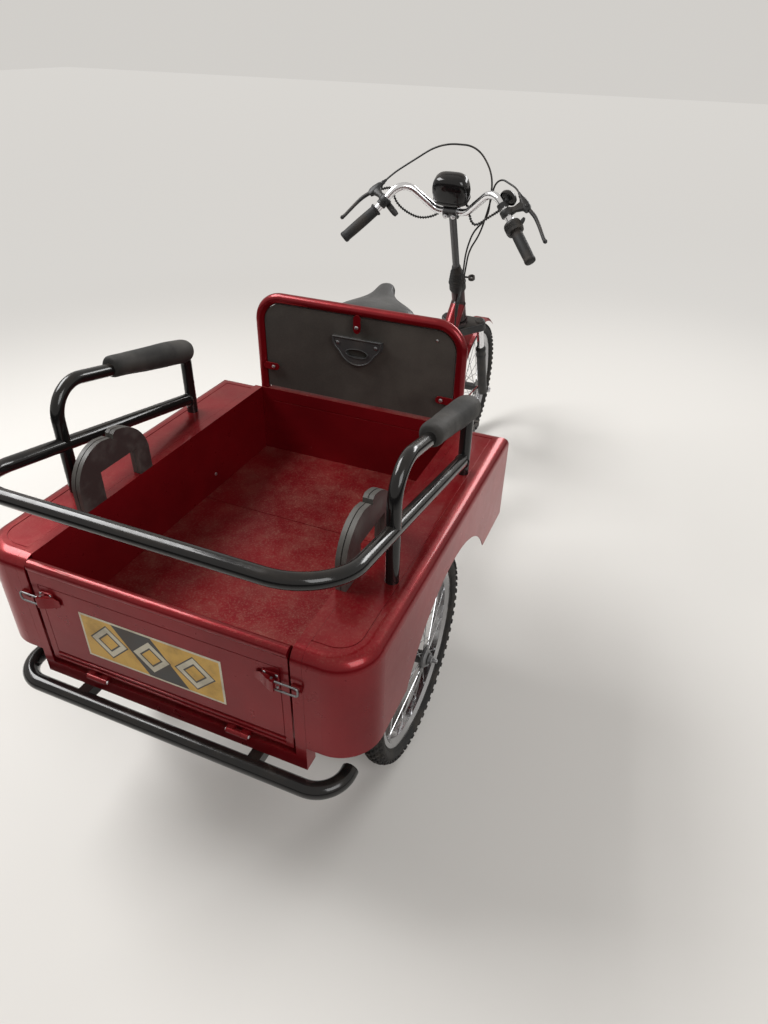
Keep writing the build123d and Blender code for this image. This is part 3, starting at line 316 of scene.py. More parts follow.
def moulded_black(name, base=0.016, rough=0.45, grain_scale=1100.0):
    """Moulded plastic or rubber with a fine spark grain."""
    paint = Paint(name)
    film = paint.noise(18.0, 5.0).above(0.45, 0.8)
    shade = paint.mix(colour(base, base, base), DUST, film * 0.10)
    return paint.finish(Base_Color=shade, Roughness=rough + film * 0.2, Specular_IOR_Level=0.3,
                        Normal=paint.bump(paint.noise(grain_scale, 2.0), 0.22, 0.0005))


def board_face(name):
    """Dark laminate face of the board: fine mottle, rubbed marks and a dusty bloom."""
    paint = Paint(name)
    mottle = paint.noise(260.0, 4.0)
    bloom = paint.noise(6.5, 5.0).above(0.38, 0.72)
    rub = paint.noise(30.0, 5.0, 0.7, (7.0, 1.0, 1.0)).above(0.70, 0.82)
    shade = paint.mix(colour(0.028, 0.025, 0.022), colour(0.048, 0.042, 0.036), mottle)
    shade = paint.mix(shade, colour(0.100, 0.088, 0.073), bloom * 0.35 + rub * 0.25)
    return paint.finish(Base_Color=shade, Roughness=0.52 + bloom * 0.18, Specular_IOR_Level=0.3,
                        Normal=paint.bump(mottle, 0.2, 0.0008))


def laminated_grey(name):
    """Dark sheet of the notched arches, greyer on the edges and where it is rubbed."""
    paint = Paint(name)
    rub = paint.noise(24.0, 5.0, 0.6).above(0.42, 0.72)
    side = paint.facing(0).unsigned().above(0.75, 0.95)
    shade = paint.mix(colour(0.060, 0.055, 0.049), colour(0.028, 0.020, 0.019), side)
    shade = paint.mix(shade, colour(0.15, 0.135, 0.12), rub * 0.25)
    return paint.finish(Base_Color=shade, Roughness=0.46 + rub * 0.12,
                        Normal=paint.bump(paint.noise(300.0, 3.0), 0.15, 0.0007))


def saddle_vinyl(name):
    """Grained black vinyl, polished by use, with lighter patches that are partly wear and partly painted sheen."""
    paint = Paint(name)
    grain = paint.cells(900.0, "DISTANCE_TO_EDGE")
    worn_and_sheen = paint.noise(11.0, 4.0).above(0.35, 0.7)
    # Lighter grey patches: partly wear, partly painted sheen
    shade = paint.mix(colour(0.018, 0.018, 0.018), colour(0.062, 0.061, 0.059), worn_and_sheen * 0.7)
    return paint.finish(Base_Color=shade, Roughness=0.40 - worn_and_sheen * 0.10, Coat_Weight=0.15,
                        Normal=paint.bump(grain.above(0.0, 0.25), 0.20, 0.0005))


def clear_lens(name):
    """Moulded clear plastic over a silvered bowl, with fine flutes."""
    paint = Paint(name)
    flutes = paint.node("ShaderNodeTexWave", {"wave_type": "BANDS", "bands_direction": "X"},
                        {"Vector": paint.place, "Scale": 120.0, "Distortion": 0.0})
    shade = paint.mix(colour(0.55, 0.57, 0.58), colour(0.80, 0.82, 0.82), flutes)
    return paint.finish(Base_Color=shade, Metallic=0.55, Roughness=paint.noise(60.0, 4.0) * 0.08 + 0.06,
                        Coat_Weight=1.0, Coat_Roughness=0.03, Normal=paint.bump(flutes, 0.35, 0.0008))


# Middle of the tailgate's decal, and its width and height
DECAL_X, DECAL_Z = -0.0155, 0.5025
DECAL_WIDE, DECAL_TALL = 0.299, 0.105


def decal(name):
    """Vinyl decal of plain shapes: three ringed diamonds between stripes, inside a pale border."""
    paint = Paint(name)
    x, z = paint.along(0) - DECAL_X, paint.along(2) - DECAL_Z
    ivory, amber, ink = colour(0.56, 0.51, 0.39), colour(0.58, 0.33, 0.045), colour(0.014, 0.012, 0.011)
    tall = z.unsigned()
    slant = x + z * 0.7
    shown = paint.mix(amber, ink, slant.above(-0.0453, -0.0447) * slant.above(0.0403, 0.0397))
    for middle in (-0.092, 0.0, 0.092):
        reach = (x - middle).unsigned() * 0.95 + tall
        for size, tint in ((0.0405, ink), (0.0370, ivory), (0.0235, ink), (0.0190, amber)):
            shown = paint.mix(shown, tint, reach.above(size + 0.0003, size - 0.0003))
    border = x.unsigned().above(0.1452, 0.1456).larger(tall.above(0.0482, 0.0486))
    shown = paint.mix(shown, ivory, border)
    grime = paint.noise(24.0, 5.0).above(0.42, 0.8) * 0.45 + paint.noise(300.0, 2.0).above(0.60, 0.75) * 0.25
    shown = paint.mix(shown, colour(0.10, 0.07, 0.05), grime)
    return paint.finish(Base_Color=shown, Roughness=0.38 + grime * 0.5,
                        Normal=paint.bump(paint.noise(9.0, 2.0), 0.15, 0.001))


body_red = candy_red("body_red", 0.15, 0.35)
bed_red = candy_red("bed_red", 0.36, 0.9, 0.14)
frame_red = candy_red("frame_red", 0.12, 0.5)
tube_black = gloss_black("tube_black")
pod_black = gloss_black("pod_black")
chassis_black = satin_black("chassis_black")
wheel_chrome = plated_wheel("wheel_chrome")
bar_chrome = bright_metal("bar_chrome", 0.78, 0.09, 0.6)
zinc = bright_metal("zinc", 0.62, 0.28, 0.4)
dull_steel = bright_metal("dull_steel", 0.42, 0.30, 0.8)
cast_alloy = bright_metal("cast_alloy", 0.38, 0.42, 0.2)
dark_steel = bright_metal("dark_steel", 0.20, 0.36, 0.6)
stem_grey = bright_metal("stem_grey", 0.105, 0.30, 0.3)
tyre_black = tyre_rubber("tyre_black")
pad_foam = foam_rubber("pad_foam")
arch_sheet = laminated_grey("arch_sheet")
board_dark = board_face("board_dark")
saddle_black = saddle_vinyl("saddle_black")
plastic_black = moulded_black("plastic_black")
handle_grey = moulded_black("handle_grey", 0.036, 0.36)
grip_black = moulded_black("grip_black", 0.014, 0.62, 700.0)
cable_black = moulded_black("cable_black", 0.012, 0.38, 900.0)
lens_clear = clear_lens("lens_clear")
decal_paint = decal("decal_paint")

# The finish of every node of the frame
FINISHES = [
    (tyre_black, "front_tyre rear_left_tyre rear_right_tyre"),
    (wheel_chrome, "front_rim rear_left_rim rear_right_rim"),
    (body_red, "side_panel_left side_panel_right bed_walls rear_sill tailgate gate_catches"),
    (bed_red, "bed_floor bed_front_wall"),
    (frame_red, "front_hoop board_tabs main_frame front_mudguard tailgate_latches"),
    (chassis_black, "bed_frame axle_housing crankset fork_crown fork_legs cable_ring"),
    (tube_black, "rear_bumper arm_loops arm_rail"),
    (plastic_black, "battery_box brake_levers"),
    (bar_chrome, "fork_uppers handlebar"),
    (cable_black, "bar_cables frame_cable"),
    (cast_alloy, "drive_motor"),
    (pad_foam, "arm_pads"),
    (arch_sheet, "arches"),
    (board_dark, "seat_board"),
    (handle_grey, "board_handle"),
    (dull_steel, "seat_post"),
    (saddle_black, "saddle"),
    (dark_steel, "chain"),
    (stem_grey, "stem"),
    (grip_black, "grips"),
    (pod_black, "lamp_pod"),
]
for paint, nodes in FINISHES:
    for node in nodes.split():
        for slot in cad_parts[node].material_slots:
            slot.material = paint.block


# Shaping tools
def turned(profile, start, axis, steps=40, loop=False):
    """Form spun about an axis from points given as (radius, distance along the axis)."""
    form = bmesh.new()
    axis = Vector(axis).normalized()
    out = axis.orthogonal().normalized()
    verts = [form.verts.new(Vector(start) + axis * far + out * radius) for radius, far in profile]
    edges = [form.edges.new(pair) for pair in zip(verts, verts[1:])]
    if loop:
        edges.append(form.edges.new((verts[-1], verts[0])))
    bmesh.ops.spin(form, geom=verts + edges, cent=start, axis=axis, angle=math.tau, steps=steps, use_merge=True)
    bmesh.ops.remove_doubles(form, verts=form.verts, dist=1e-6)
    return form


def round_section(radius, far, half_wide, half_long, count):
    """Closed oval section for a spin, about a middle at a radius and a distance along the axis."""
    turns = [math.tau * i / count for i in range(count)]
    return [(radius + half_wide * math.cos(a), far + half_long * math.sin(a)) for a in turns]


def soften(form, width, segments=2):
    """Bevel every edge that turns more than 30 degrees."""
    sharp = [e for e in form.edges if e.is_manifold and e.calc_face_angle(0) > math.radians(30)]
    bmesh.ops.bevel(form, geom=sharp, offset=width, offset_type="OFFSET", segments=segments, profile=0.5,
                    affect="EDGES", material=-1, clamp_overlap=True)
    return form


def blocky(centre, size, bevel, segments=2, turn=Matrix.Identity(3)):
    """Box of a size about a centre, turned by a matrix and bevelled."""
    form = bmesh.new()
    matrix = Matrix.Translation(centre) @ turn.to_4x4() @ Matrix.Diagonal((*size, 1))
    bmesh.ops.create_cube(form, size=1.0, matrix=matrix)
    return soften(form, bevel, segments)


def gather(*forms):
    """One form from several."""
    whole = bmesh.new()
    for form in forms:
        mesh = bpy.data.meshes.new("step")
        form.to_mesh(mesh)
        form.free()
        whole.from_mesh(mesh)
        bpy.data.meshes.remove(mesh)
    return whole


def line_mesh(points, steps, radius=0.0, sides=0, weights=None):
    """Mesh of a NURBS line through control points: bare, or a round bar where it has a radius."""
    curve = bpy.data.curves.new("line", "CURVE")
    curve.dimensions = "3D"
    spline = curve.splines.new("NURBS")
    spline.points.add(len(points) - 1)
    for i, point in enumerate(points):
        spline.points[i].co = (*point, 1.0)
        spline.points[i].radius = weights[i] if weights else 1.0
    spline.order_u = 3
    spline.use_endpoint_u = True
    curve.resolution_u = steps
    curve.bevel_depth = radius
    curve.bevel_resolution = sides
    curve.use_fill_caps = radius > 0
    line = bpy.data.objects.new("line", curve)
    bpy.context.collection.objects.link(line)
    mesh = bpy.data.meshes.new_from_object(line.evaluated_get(bpy.context.evaluated_depsgraph_get()))
    bpy.data.objects.remove(line)
    return mesh


def tube(points, radius, sides=3, weights=None):
    """Smooth round bar along a NURBS line through control points."""
    mesh = line_mesh(points, 10, radius, sides, weights)
    form = bmesh.new()
    form.from_mesh(mesh)
    bpy.data.meshes.remove(mesh)
    bmesh.ops.remove_doubles(form, verts=form.verts, dist=1e-6)
    return form


def oval(form, centre, across, up, half_x, half_y, power, count):
    """Loop of edges round a rounded box section."""
    across, up = Vector(across).normalized(), Vector(up).normalized()
    verts = bmesh.ops.create_circle(form, cap_ends=False, segments=count, radius=1.0)["verts"]
    for vert in verts:
        c, s = vert.co.x, vert.co.y
        reach = (abs(c) ** power + abs(s) ** power) ** (-1.0 / power)
        vert.co = Vector(centre) + across * (c * reach * half_x) + up * (s * reach * half_y)
    return list({edge for vert in verts for edge in vert.link_edges})


def lofted(sections, count):
    """Closed form through sections given as (centre, across, up, half width, half height, power)."""
    form = bmesh.new()
    loops = [oval(form, *section, count) for section in sections]
    for first, second in zip(loops, loops[1:]):
        bmesh.ops.bridge_loops(form, edges=first + second)
    for loop in (loops[0], loops[-1]):
        bmesh.ops.holes_fill(form, edges=loop, sides=0)
    return form


def painted(name, form, paint):
    """Object at the origin made from a form, in one paint."""
    mesh = bpy.data.meshes.new(name)
    form.to_mesh(mesh)
    form.free()
    mesh.materials.append(paint.block)
    made = bpy.data.objects.new(name, mesh)
    bpy.context.collection.objects.link(made)
    return made


def piece(name, form, paint, body, stands_for=(), angle=38):
    """Make a form a piece that rides on a body, if one is given, in place of the nodes it stands for."""
    bmesh.ops.recalc_face_normals(form, faces=form.faces)
    made = painted(name, form, paint)
    made.data.polygons.foreach_set("use_smooth", [True] * len(made.data.polygons))
    made.data.set_sharp_from_angle(angle=math.radians(angle))
    if body:
        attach(made, body)
    if stands_for:
        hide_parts(*stands_for)
    return made


def cushion(name, form, paint, node):
    """Padded piece with one live level of subdivision."""
    made = piece(name, form, paint, "chassis", [node], 180)
    smooth = made.modifiers.new("smooth", "SUBSURF")
    smooth.levels = smooth.render_levels = 1


def hex_bolt(place, axis, size, height=None):
    """Hexagon head with a chamfer on a washer, seated at a place and pointing along an axis."""
    height = height or size * 0.6
    head = turned([(0, 0), (size, 0), (size, height * 0.8), (size * 0.82, height), (0, height)], place, axis, 6)
    rim, thick = size * 1.45, height * 0.22
    return gather(head, turned([(0, 0), (rim, 0), (rim, thick), (0, thick)], place, axis, 20))


def round_screw(place, axis, size):
    """Domed screw head with a small round recess."""
    shares = [(0, -0.1), (1, 0), (0.96, 0.28), (0.6, 0.5), (0.18, 0.52), (0.12, 0.3), (0, 0.3)]
    return turned([(radius * size, far * size) for radius, far in shares], place, axis, 16)


def weld(place, axis, radius, bead):
    """Ring of overlapping weld ripples round a tube."""
    ripples = 26
    form = turned(round_section(radius, 0, bead, bead, 8), place, axis, ripples * 2, True)
    axis = Vector(axis).normalized()
    zero = axis.orthogonal()
    for vert in form.verts:
        arm = vert.co - Vector(place)
        arm -= axis * arm.dot(axis)
        turn = math.atan2(arm.cross(zero).dot(axis), arm.dot(zero))
        vert.co += arm.normalized() * bead * 0.175 * math.sin(turn * ripples)
    return form


# Wheels as (name, across, along)
WHEELS = (("front", 0.0, FRONT_Y), ("rear_left", -TRACK / 2, REAR_Y), ("rear_right", TRACK / 2, REAR_Y))
SPOKES = 28
# One half of the tyre's section as (radius, half width)
TYRE_BODY = [(0.2033, 0.0120), (0.2110, 0.0126), (0.2150, 0.0180), (0.2230, 0.0228), (0.2300, 0.0233),
             (0.2362, 0.0208), (0.2408, 0.0160), (0.2434, 0.0095), (0.2443, 0.0)]
# Rings on the tyre's wall as (radius, half width)
WALL_RINGS = ((0.2155, 0.0186), (0.2300, 0.0232))
WALL_RING_R = 0.0007
TREAD_PITCHES = 64
# Rows of tread blocks on one half as (across, radius at the foot, lean, length, width, height, share of a
# pitch on the left, share on the right)
TREAD = [(0.0192, 0.2366, 56, 0.0130, 0.0075, 0.0058, 0.0, 0.5),
         (0.0118, 0.2418, 28, 0.0115, 0.0068, 0.0054, 0.5, 0.0),
         (0.0040, 0.2438, 7, 0.0130, 0.0060, 0.0056, 0.1, 0.6)]


def tread_block(form, stand, length, width, height):
    """Block sunk in the carcass, narrower at its crown."""
    box = Matrix.Translation((0, 0, height * 0.3)) @ Matrix.Diagonal((width, length, height * 1.4, 1))
    verts = bmesh.ops.create_cube(form, size=1.0, matrix=stand @ box)["verts"]
    top = [v for v in verts if (stand.inverted() @ v.co).z > 0]
    crown = (stand @ Matrix.Translation((0, 0, height))).inverted()
    bmesh.ops.scale(form, vec=(0.74, 0.80, 1.0), space=crown, verts=top)


def knobby_tyre(x, y):
    """Tyre carcass with six rows of tread blocks and two raised rings on each wall."""
    middle = Vector((x, y, AXLE_Z))
    profile = [(r, -w) for r, w in TYRE_BODY] + [(r, w) for r, w in reversed(TYRE_BODY[:-1])]
    carcass = turned(profile, middle, (1, 0, 0), 120, True)
    rings = [turned(round_section(r, side * w, WALL_RING_R, WALL_RING_R, 6), middle, (1, 0, 0), 96, True)
             for r, w in WALL_RINGS for side in (-1, 1)]
    blocks = bmesh.new()
    for across, radius, lean, *size, left, right in TREAD:
        for side, share in ((-1, left), (1, right)):
            seat = Matrix.Translation((side * across, 0, radius)) @ Matrix.Rotation(math.radians(side * lean), 4, "Y")
            for i in range(TREAD_PITCHES):
                turn = Matrix.Rotation(math.tau * (i + share) / TREAD_PITCHES, 4, "X")
                tread_block(blocks, Matrix.Translation(middle) @ turn @ seat, *size)
    return gather(carcass, *rings, blocks)


def spoke_way(share):
    """Direction out from the axle at a share of the spokes' count."""
    turn = math.tau * share / SPOKES
    return Vector((0, math.cos(turn), math.sin(turn)))


def wheel_trim(x, y):
    """Spoke nipples at the rim and the valve."""
    parts = []
    for i in range(SPOKES):
        foot = Vector((x + (0.0035 if i % 2 else -0.0035), y, AXLE_Z)) + spoke_way(i) * 0.181
        parts.append(turned([(0, 0), (0.0022, 0), (0.0022, 0.010), (0.0016, 0.012), (0, 0.012)],
                            foot, spoke_way(i), 6))
    out = spoke_way(3.5)
    parts.append(turned([(0, 0), (0.0036, 0), (0.0036, 0.012), (0.0028, 0.013), (0.0028, 0.040), (0, 0.040)],
                        Vector((x, y, AXLE_Z)) + out * 0.156, out, 12))
    return gather(*parts)


for name, x, y in WHEELS:
    body = name + "_wheel"
    piece(name + "_knobby_tyre", knobby_tyre(x, y), tyre_black, body, [name + "_tyre"], 30)
    piece(name + "_nipples_valve", wheel_trim(x, y), zinc, body)


def axle_end(x, y, side):
    """Domed hub cap, nut and thread end outside a rear hub."""
    out = (side, 0, 0)
    cap = turned([(0, 0), (0.0225, 0), (0.0225, 0.004), (0.018, 0.009), (0.0125, 0.010)],
                 (x + side * 0.026, y, AXLE_Z), out, 32)
    nut = hex_bolt((x + side * 0.0375, y, AXLE_Z), out, 0.0105, 0.009)
    end = turned([(0, 0), (0.005, 0), (0.005, 0.016), (0.004, 0.018), (0, 0.018)],
                 (x + side * 0.040, y, AXLE_Z), out, 16)
    return gather(cap, nut, end)


for name, side in SIDES:
    piece("rear_" + name + "_axle_end", axle_end(side * TRACK / 2, REAR_Y, side), dark_steel,
          "rear_" + name + "_wheel")

# Bar, grips and controls. Corners of one half of the bar as (across, forward, up) from the clamp
CLAMP = Vector((0, 0.4528, 0.974))
BAR_CORNERS = [(0.138, -0.052, 0.082), (0.202, -0.080, 0.006), (0.285, -0.147, -0.076)]
# Inner radius of what is clamped round the bar
ON_BAR = 0.0114
LEVER_LIFT = math.radians(55)
GRIP_LONG = 0.126


class BarSide:
    """Places and directions on one half of the bar: its corners, the lever's ring and the lever's reach."""

    def __init__(self, side):
        self.apex, self.bend, self.end = (CLAMP + Vector((side * x, y, z)) for x, y, z in BAR_CORNERS)
        self.run = (self.bend - self.apex).normalized()
        self.ring = self.on_run(0.74)
        self.along = (self.end - self.bend).normalized()
        self.outward = Vector((self.along.z * -side, 0, self.along.x * side)).normalized()
        ahead = (Vector((0, 1, 0)) - self.along * self.along.y).normalized()
        self.reach = ahead * math.cos(LEVER_LIFT) + self.outward * math.sin(LEVER_LIFT)

    def on_run(self, share):
        """A place on the bar at a share of the way from its apex to its bend."""
        return self.apex + (self.bend - self.apex) * share

    def band(self, place, half, radius):
        """Plain clamp band round the bar's run."""
        return turned([(ON_BAR, -half), (radius, -half), (radius, half), (ON_BAR, half)], place, self.run, 28, True)


LEFT_BAR, RIGHT_BAR = BarSide(-1), BarSide(1)
BARS = (("left", LEFT_BAR), ("right", RIGHT_BAR))


def ribbed_grip(bar):
    """Rubber grip with a flange at its root, fine ribs and a domed end."""
    profile = [(ON_BAR, 0.0), (0.0185, 0.0), (0.0188, 0.004), (0.0165, 0.007)]
    steps, ribbed = 88, 0.106
    for i in range(steps + 1):
        share = i / steps
        swell = 0.0008 * math.sin(math.pi * share)
        profile.append((0.0150 + swell + (0.0005 if i % 2 else 0.0), 0.010 + ribbed * share))
    profile += [(0.0160, 0.119), (0.0164, 0.124), (0.0150, 0.1285), (0.010, 0.1300), (0, 0.1302)]
    return turned(profile, bar.end - bar.along * GRIP_LONG, bar.along, 40)


for name, bar in BARS:
    piece(name + "_grip", ribbed_grip(bar), grip_black, "steering", ["grips"], 60)

# Lever: sections of its neck along the reach and of its body along the bar, as (distance, half width, half
# thickness), and the blade's points as (along, out, thickness)
NECK = [(0.012, 0.012, 0.010), (0.026, 0.0085, 0.0080), (0.042, 0.0130, 0.0090), (0.052, 0.0180, 0.0085)]
BODY = [(-0.024, 0.0065, 0.0065), (-0.018, 0.0090, 0.0085), (-0.004, 0.0120, 0.0095), (0.012, 0.0125, 0.0095),
        (0.022, 0.0085, 0.0070)]
BLADE = [(0.008, 0.0, 1.1), (0.036, 0.010, 1.15), (0.070, 0.009, 1.0), (0.104, 0.005, 0.95),
         (0.120, 0.003, 0.95), (0.128, 0.004, 1.1)]


def lever_set(bar):
    """Clamp ring, tapered perch, cable adjuster and a flattened curved blade."""
    along, reach = bar.along, bar.reach
    perch = bar.ring + reach * 0.056
    third = along.cross(reach).normalized()
    clamp = turned([(ON_BAR, -0.0095), (0.0165, -0.0095), (0.0175, -0.0075), (0.0175, 0.0075), (0.0165, 0.0095),
                    (ON_BAR, 0.0095)], bar.ring, bar.run, 32, True)
    neck = lofted([(bar.ring + reach * far, along, third, wide, thick, 2.6) for far, wide, thick in NECK], 24)
    body = lofted([(perch + along * far, reach, third, wide, thick, 2.8) for far, wide, thick in BODY], 28)
    barrel = turned([(0, 0), (0.0052, 0), (0.0060, 0.002), (0.0060, 0.011), (0.0044, 0.013), (0.0038, 0.020),
                     (0, 0.020)], perch - along * 0.022, -along, 16)
    pivot = turned([(0, 0), (0.0045, 0), (0.0045, 0.002), (0.003, 0.003), (0, 0.003)],
                   perch + along * 0.008 + third * 0.0092, third, 16)
    blade = tube([perch + along * far + reach * out for far, out, thick in BLADE], 0.0052, 4,
                 [thick for far, out, thick in BLADE])
    tip = turned([(0, -0.0065), (0.004, -0.0055), (0.0065, 0), (0.004, 0.0055), (0, 0.0065)],
                 perch + along * 0.127 + reach * 0.004, along, 16)
    return gather(clamp, neck, body, barrel, pivot), gather(blade, tip)


for name, bar in BARS:
    holder, blade = lever_set(bar)
    piece(name + "_perch", holder, plastic_black, "steering", ["brake_levers"], 40)
    piece(name + "_blade", blade, chassis_black, "steering")


def switch_box(bar):
    """Small switch hanging under the bar beside the left grip, with its rocker."""
    at = bar.ring - bar.outward * 0.032
    turn = Matrix((bar.along, bar.reach, bar.outward)).transposed()
    case = blocky(at, (0.018, 0.022, 0.034), 0.004, 4, turn)
    rocker = blocky(at - bar.reach * 0.011, (0.010, 0.006, 0.016), 0.0015, 2, turn)
    return gather(bar.band(bar.ring + bar.run * 0.014, 0.005, 0.0150), case, rocker)


def throttle_ring(bar):
    """Twist ring at the root of the right grip, ribbed, with its cable boss."""
    start = bar.end - bar.along * (GRIP_LONG + 0.002)
    ribs = [(0.0248 + (0.0007 if i % 2 else 0.0), 0.006 + 0.0009 * i) for i in range(20)]
    profile = [(0.0168, 0.0), (0.0235, 0.0), (0.0248, 0.003)] + ribs + [(0.0235, 0.030), (0.0168, 0.030)]
    boss = turned([(0, 0), (0.006, 0), (0.006, 0.012), (0.004, 0.020), (0, 0.020)],
                  start + bar.along * 0.012 + bar.reach * 0.022, bar.reach - bar.along * 0.8, 16)
    return gather(turned(profile, start, bar.along, 48, True), boss)


piece("bar_switch", switch_box(LEFT_BAR), plastic_black, "steering")
piece("throttle_ring", throttle_ring(RIGHT_BAR), plastic_black, "steering")

# Bell on the bar's right run: post, dome and nut, all about one axis
BELL_AXIS = Vector((0.3, 0.7, 0.65)).normalized()
BELL_FOOT = RIGHT_BAR.on_run(0.52)
bell_post = turned([(0, 0.010), (0.0065, 0.010), (0.0065, 0.026), (0.0200, 0.0262), (0.0200, 0.0285),
                    (0, 0.0285)], BELL_FOOT, BELL_AXIS, 24)
piece("bell_clamp", gather(RIGHT_BAR.band(BELL_FOOT, 0.007, 0.0158), bell_post), plastic_black, "steering")
piece("bell_dome", turned([(0.0235, 0.0240), (0.0250, 0.0240), (0.0250, 0.0285), (0.0238, 0.0345),
                           (0.0195, 0.0395), (0.0125, 0.0425), (0.0050, 0.0435), (0, 0.0436)],
                          BELL_FOOT, BELL_AXIS, 48), pod_black, "steering")
piece("bell_nut", turned([(0, 0), (0.0045, 0), (0.0042, 0.002), (0.002, 0.003), (0, 0.003)],
                         BELL_FOOT + BELL_AXIS * 0.0432, BELL_AXIS, 16), bar_chrome, "steering")

# Leads of the brake switches, from the levers under the bar to the pod, as (across, forward, up) from the clamp
LEADS = {"left": [(-0.216, -0.036, 0.046), (-0.204, -0.010, 0.050), (-0.189, 0.000, 0.046), (-0.187, 0.002, 0.022),
                  (-0.170, 0.000, 0.000), (-0.138, -0.002, -0.018), (-0.100, -0.002, -0.029),
                  (-0.060, 0.004, -0.022), (-0.030, 0.012, -0.002), (-0.016, 0.014, 0.020)],
         "right": [(0.182, -0.060, 0.042), (0.168, -0.040, 0.034), (0.146, -0.026, 0.016), (0.120, -0.022, -0.002),
                   (0.098, -0.022, -0.020), (0.080, -0.020, -0.028), (0.066, -0.014, -0.018),
                   (0.054, -0.002, 0.008), (0.044, 0.004, 0.024), (0.036, 0.006, 0.034)]}
LEAD_R = 0.0024
COIL_PITCH = 0.0078


def wrapped_lead(points):
    """Lead in a spiral wrap: a smooth tube and slanted coils along its own line."""
    mesh = line_mesh(points, 16)
    route = [v.co.copy() for v in mesh.vertices]
    bpy.data.meshes.remove(mesh)
    foot, rim = LEAD_R * 0.8, LEAD_R * 1.75
    section = [(foot, -0.0024), (rim, -0.0014), (rim, 0.0014), (foot, 0.0024)]
    coils, far, due = [], 0.0, 0.010
    for before, after in zip(route, route[1:]):
        run = after - before
        along = run.normalized()
        lean = (along + along.orthogonal().normalized() * 0.35).normalized()
        while due <= far + run.length:
            coils.append(turned(section, before + along * (due - far), lean, 10, True))
            due += COIL_PITCH
        far += run.length
    return gather(tube(points, LEAD_R, 2), *coils)


for name, offsets in LEADS.items():
    lead = wrapped_lead([CLAMP + Vector(offset) for offset in offsets])
    piece("lead_" + name, lead, cable_black, "steering")

# The two bar cables run on from the bar, across the headset, into the frame cable's sleeve
CABLE_RUNS = [[(0.036, 0.5028, 0.7765), (0.034, 0.5072, 0.755), (0.032, 0.5055, 0.730), (0.0295, 0.494, 0.705),
               (0.0285, 0.4845, 0.686), (0.0290, 0.4830, 0.664)],
              [(0.036, 0.5228, 0.7765), (0.033, 0.5285, 0.755), (0.0315, 0.5250, 0.728), (0.0325, 0.5060, 0.706),
               (0.0325, 0.4910, 0.688), (0.0312, 0.4838, 0.664)]]
bridge = piece("cable_bridge", gather(*[tube(run, 0.0026) for run in CABLE_RUNS]), cable_black, None)
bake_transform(bridge)
piece("cable_sleeve", turned([(0, -0.014), (0.0034, -0.014), (0.0046, -0.010), (0.0052, 0.012), (0.0052, 0.026),
                              (0.0042, 0.029), (0, 0.029)], (0.030, 0.483, 0.660), (0, 0, 1), 20),
      grip_black, "chassis")

# Lamp and display pod, which leans as the steering axis does. Sections as (height, half width, half depth,
# shift forward)
POD_FOOT = CLAMP + Vector((0, 0.012, 0)) + STEER_UP * 0.030
POD_POWER = 3.2
POD_CUTS = [(0.000, 0.0430, 0.0270, 0.0), (0.004, 0.0510, 0.0315, 0.0), (0.010, 0.0545, 0.0325, 0.0),
            (0.013, 0.0548, 0.0325, 0.0), (0.0145, 0.0525, 0.0310, 0.0), (0.0165, 0.0530, 0.0314, 0.0),
            (0.034, 0.0555, 0.0325, 0.0005), (0.050, 0.0545, 0.0322, 0.001), (0.063, 0.0510, 0.0305, 0.0015),
            (0.073, 0.0455, 0.0272, 0.002), (0.0795, 0.0370, 0.0225, 0.002), (0.0828, 0.0250, 0.0155, 0.002),
            (0.0838, 0.0110, 0.0070, 0.002)]
pod = lofted([(POD_FOOT + STEER_UP * z + STEER_FRONT * shift, (1, 0, 0), STEER_FRONT, w, d, POD_POWER)
              for z, w, d, shift in POD_CUTS], 56)
piece("pod_shell", pod, pod_black, "steering", ["lamp_pod"], 50)
cradle = blocky(CLAMP + Vector((0, 0.010, 0)) + STEER_UP * 0.024, (0.040, 0.030, 0.018), 0.004, 3,
                Matrix.Rotation(HEAD_TILT, 3, "X"))
piece("pod_cradle", cradle, plastic_black, "steering")
LENS_AT = POD_FOOT + STEER_UP * 0.036 + STEER_FRONT * 0.0300
piece("pod_lens_ring", turned([(0.0235, 0), (0.0262, 0), (0.0262, 0.0030), (0.0250, 0.0040), (0.0235, 0.0040)],
                              LENS_AT, STEER_FRONT, 48, True), bar_chrome, "steering")
piece("pod_lens", turned([(0, 0.0045), (0.010, 0.0042), (0.018, 0.0032), (0.0236, 0.0015), (0.0236, 0.0), (0, 0.0)],
                         LENS_AT, STEER_FRONT, 48), lens_clear, "steering")

# Boot of the headset, in five folds that grow narrower upwards, and the clamp's bolts and rims
boot = [(0.0262, -0.030), (0.0275, -0.026), (0.0270, -0.006)]
for i in range(5):
    far = -0.004 + 0.010 * i
    boot += [(0.0272 - 0.0020 * i, far), (0.0288 - 0.0022 * i, far + 0.004), (0.0262 - 0.0022 * i, far + 0.009)]
boot += [(0.0150, 0.052), (0.0140, 0.060), (0.0114, 0.061), (0.0114, 0.030), (0.0232, 0.012), (0.0262, -0.010)]
piece("headset_boot", turned(boot, on_axis(HEAD_TOP), STEER_UP, 48, True), grip_black, "steering")
bolts = [hex_bolt(CLAMP + Vector((x, -0.0215, -0.012)), (0, -0.9, -0.35), 0.0048) for x in (-0.012, 0.012)]
piece("clamp_bolts", gather(*bolts), zinc, "steering")
rims = [turned([(ON_BAR, -0.0015), (0.0198, -0.0015), (0.0198, 0.0015), (ON_BAR, 0.0015)],
               CLAMP + Vector((x, 0, 0)), (1, 0, 0), 40, True) for x in (-0.0205, 0.0205)]
piece("bar_clamp_rims", gather(*rims), dark_steel, "steering")


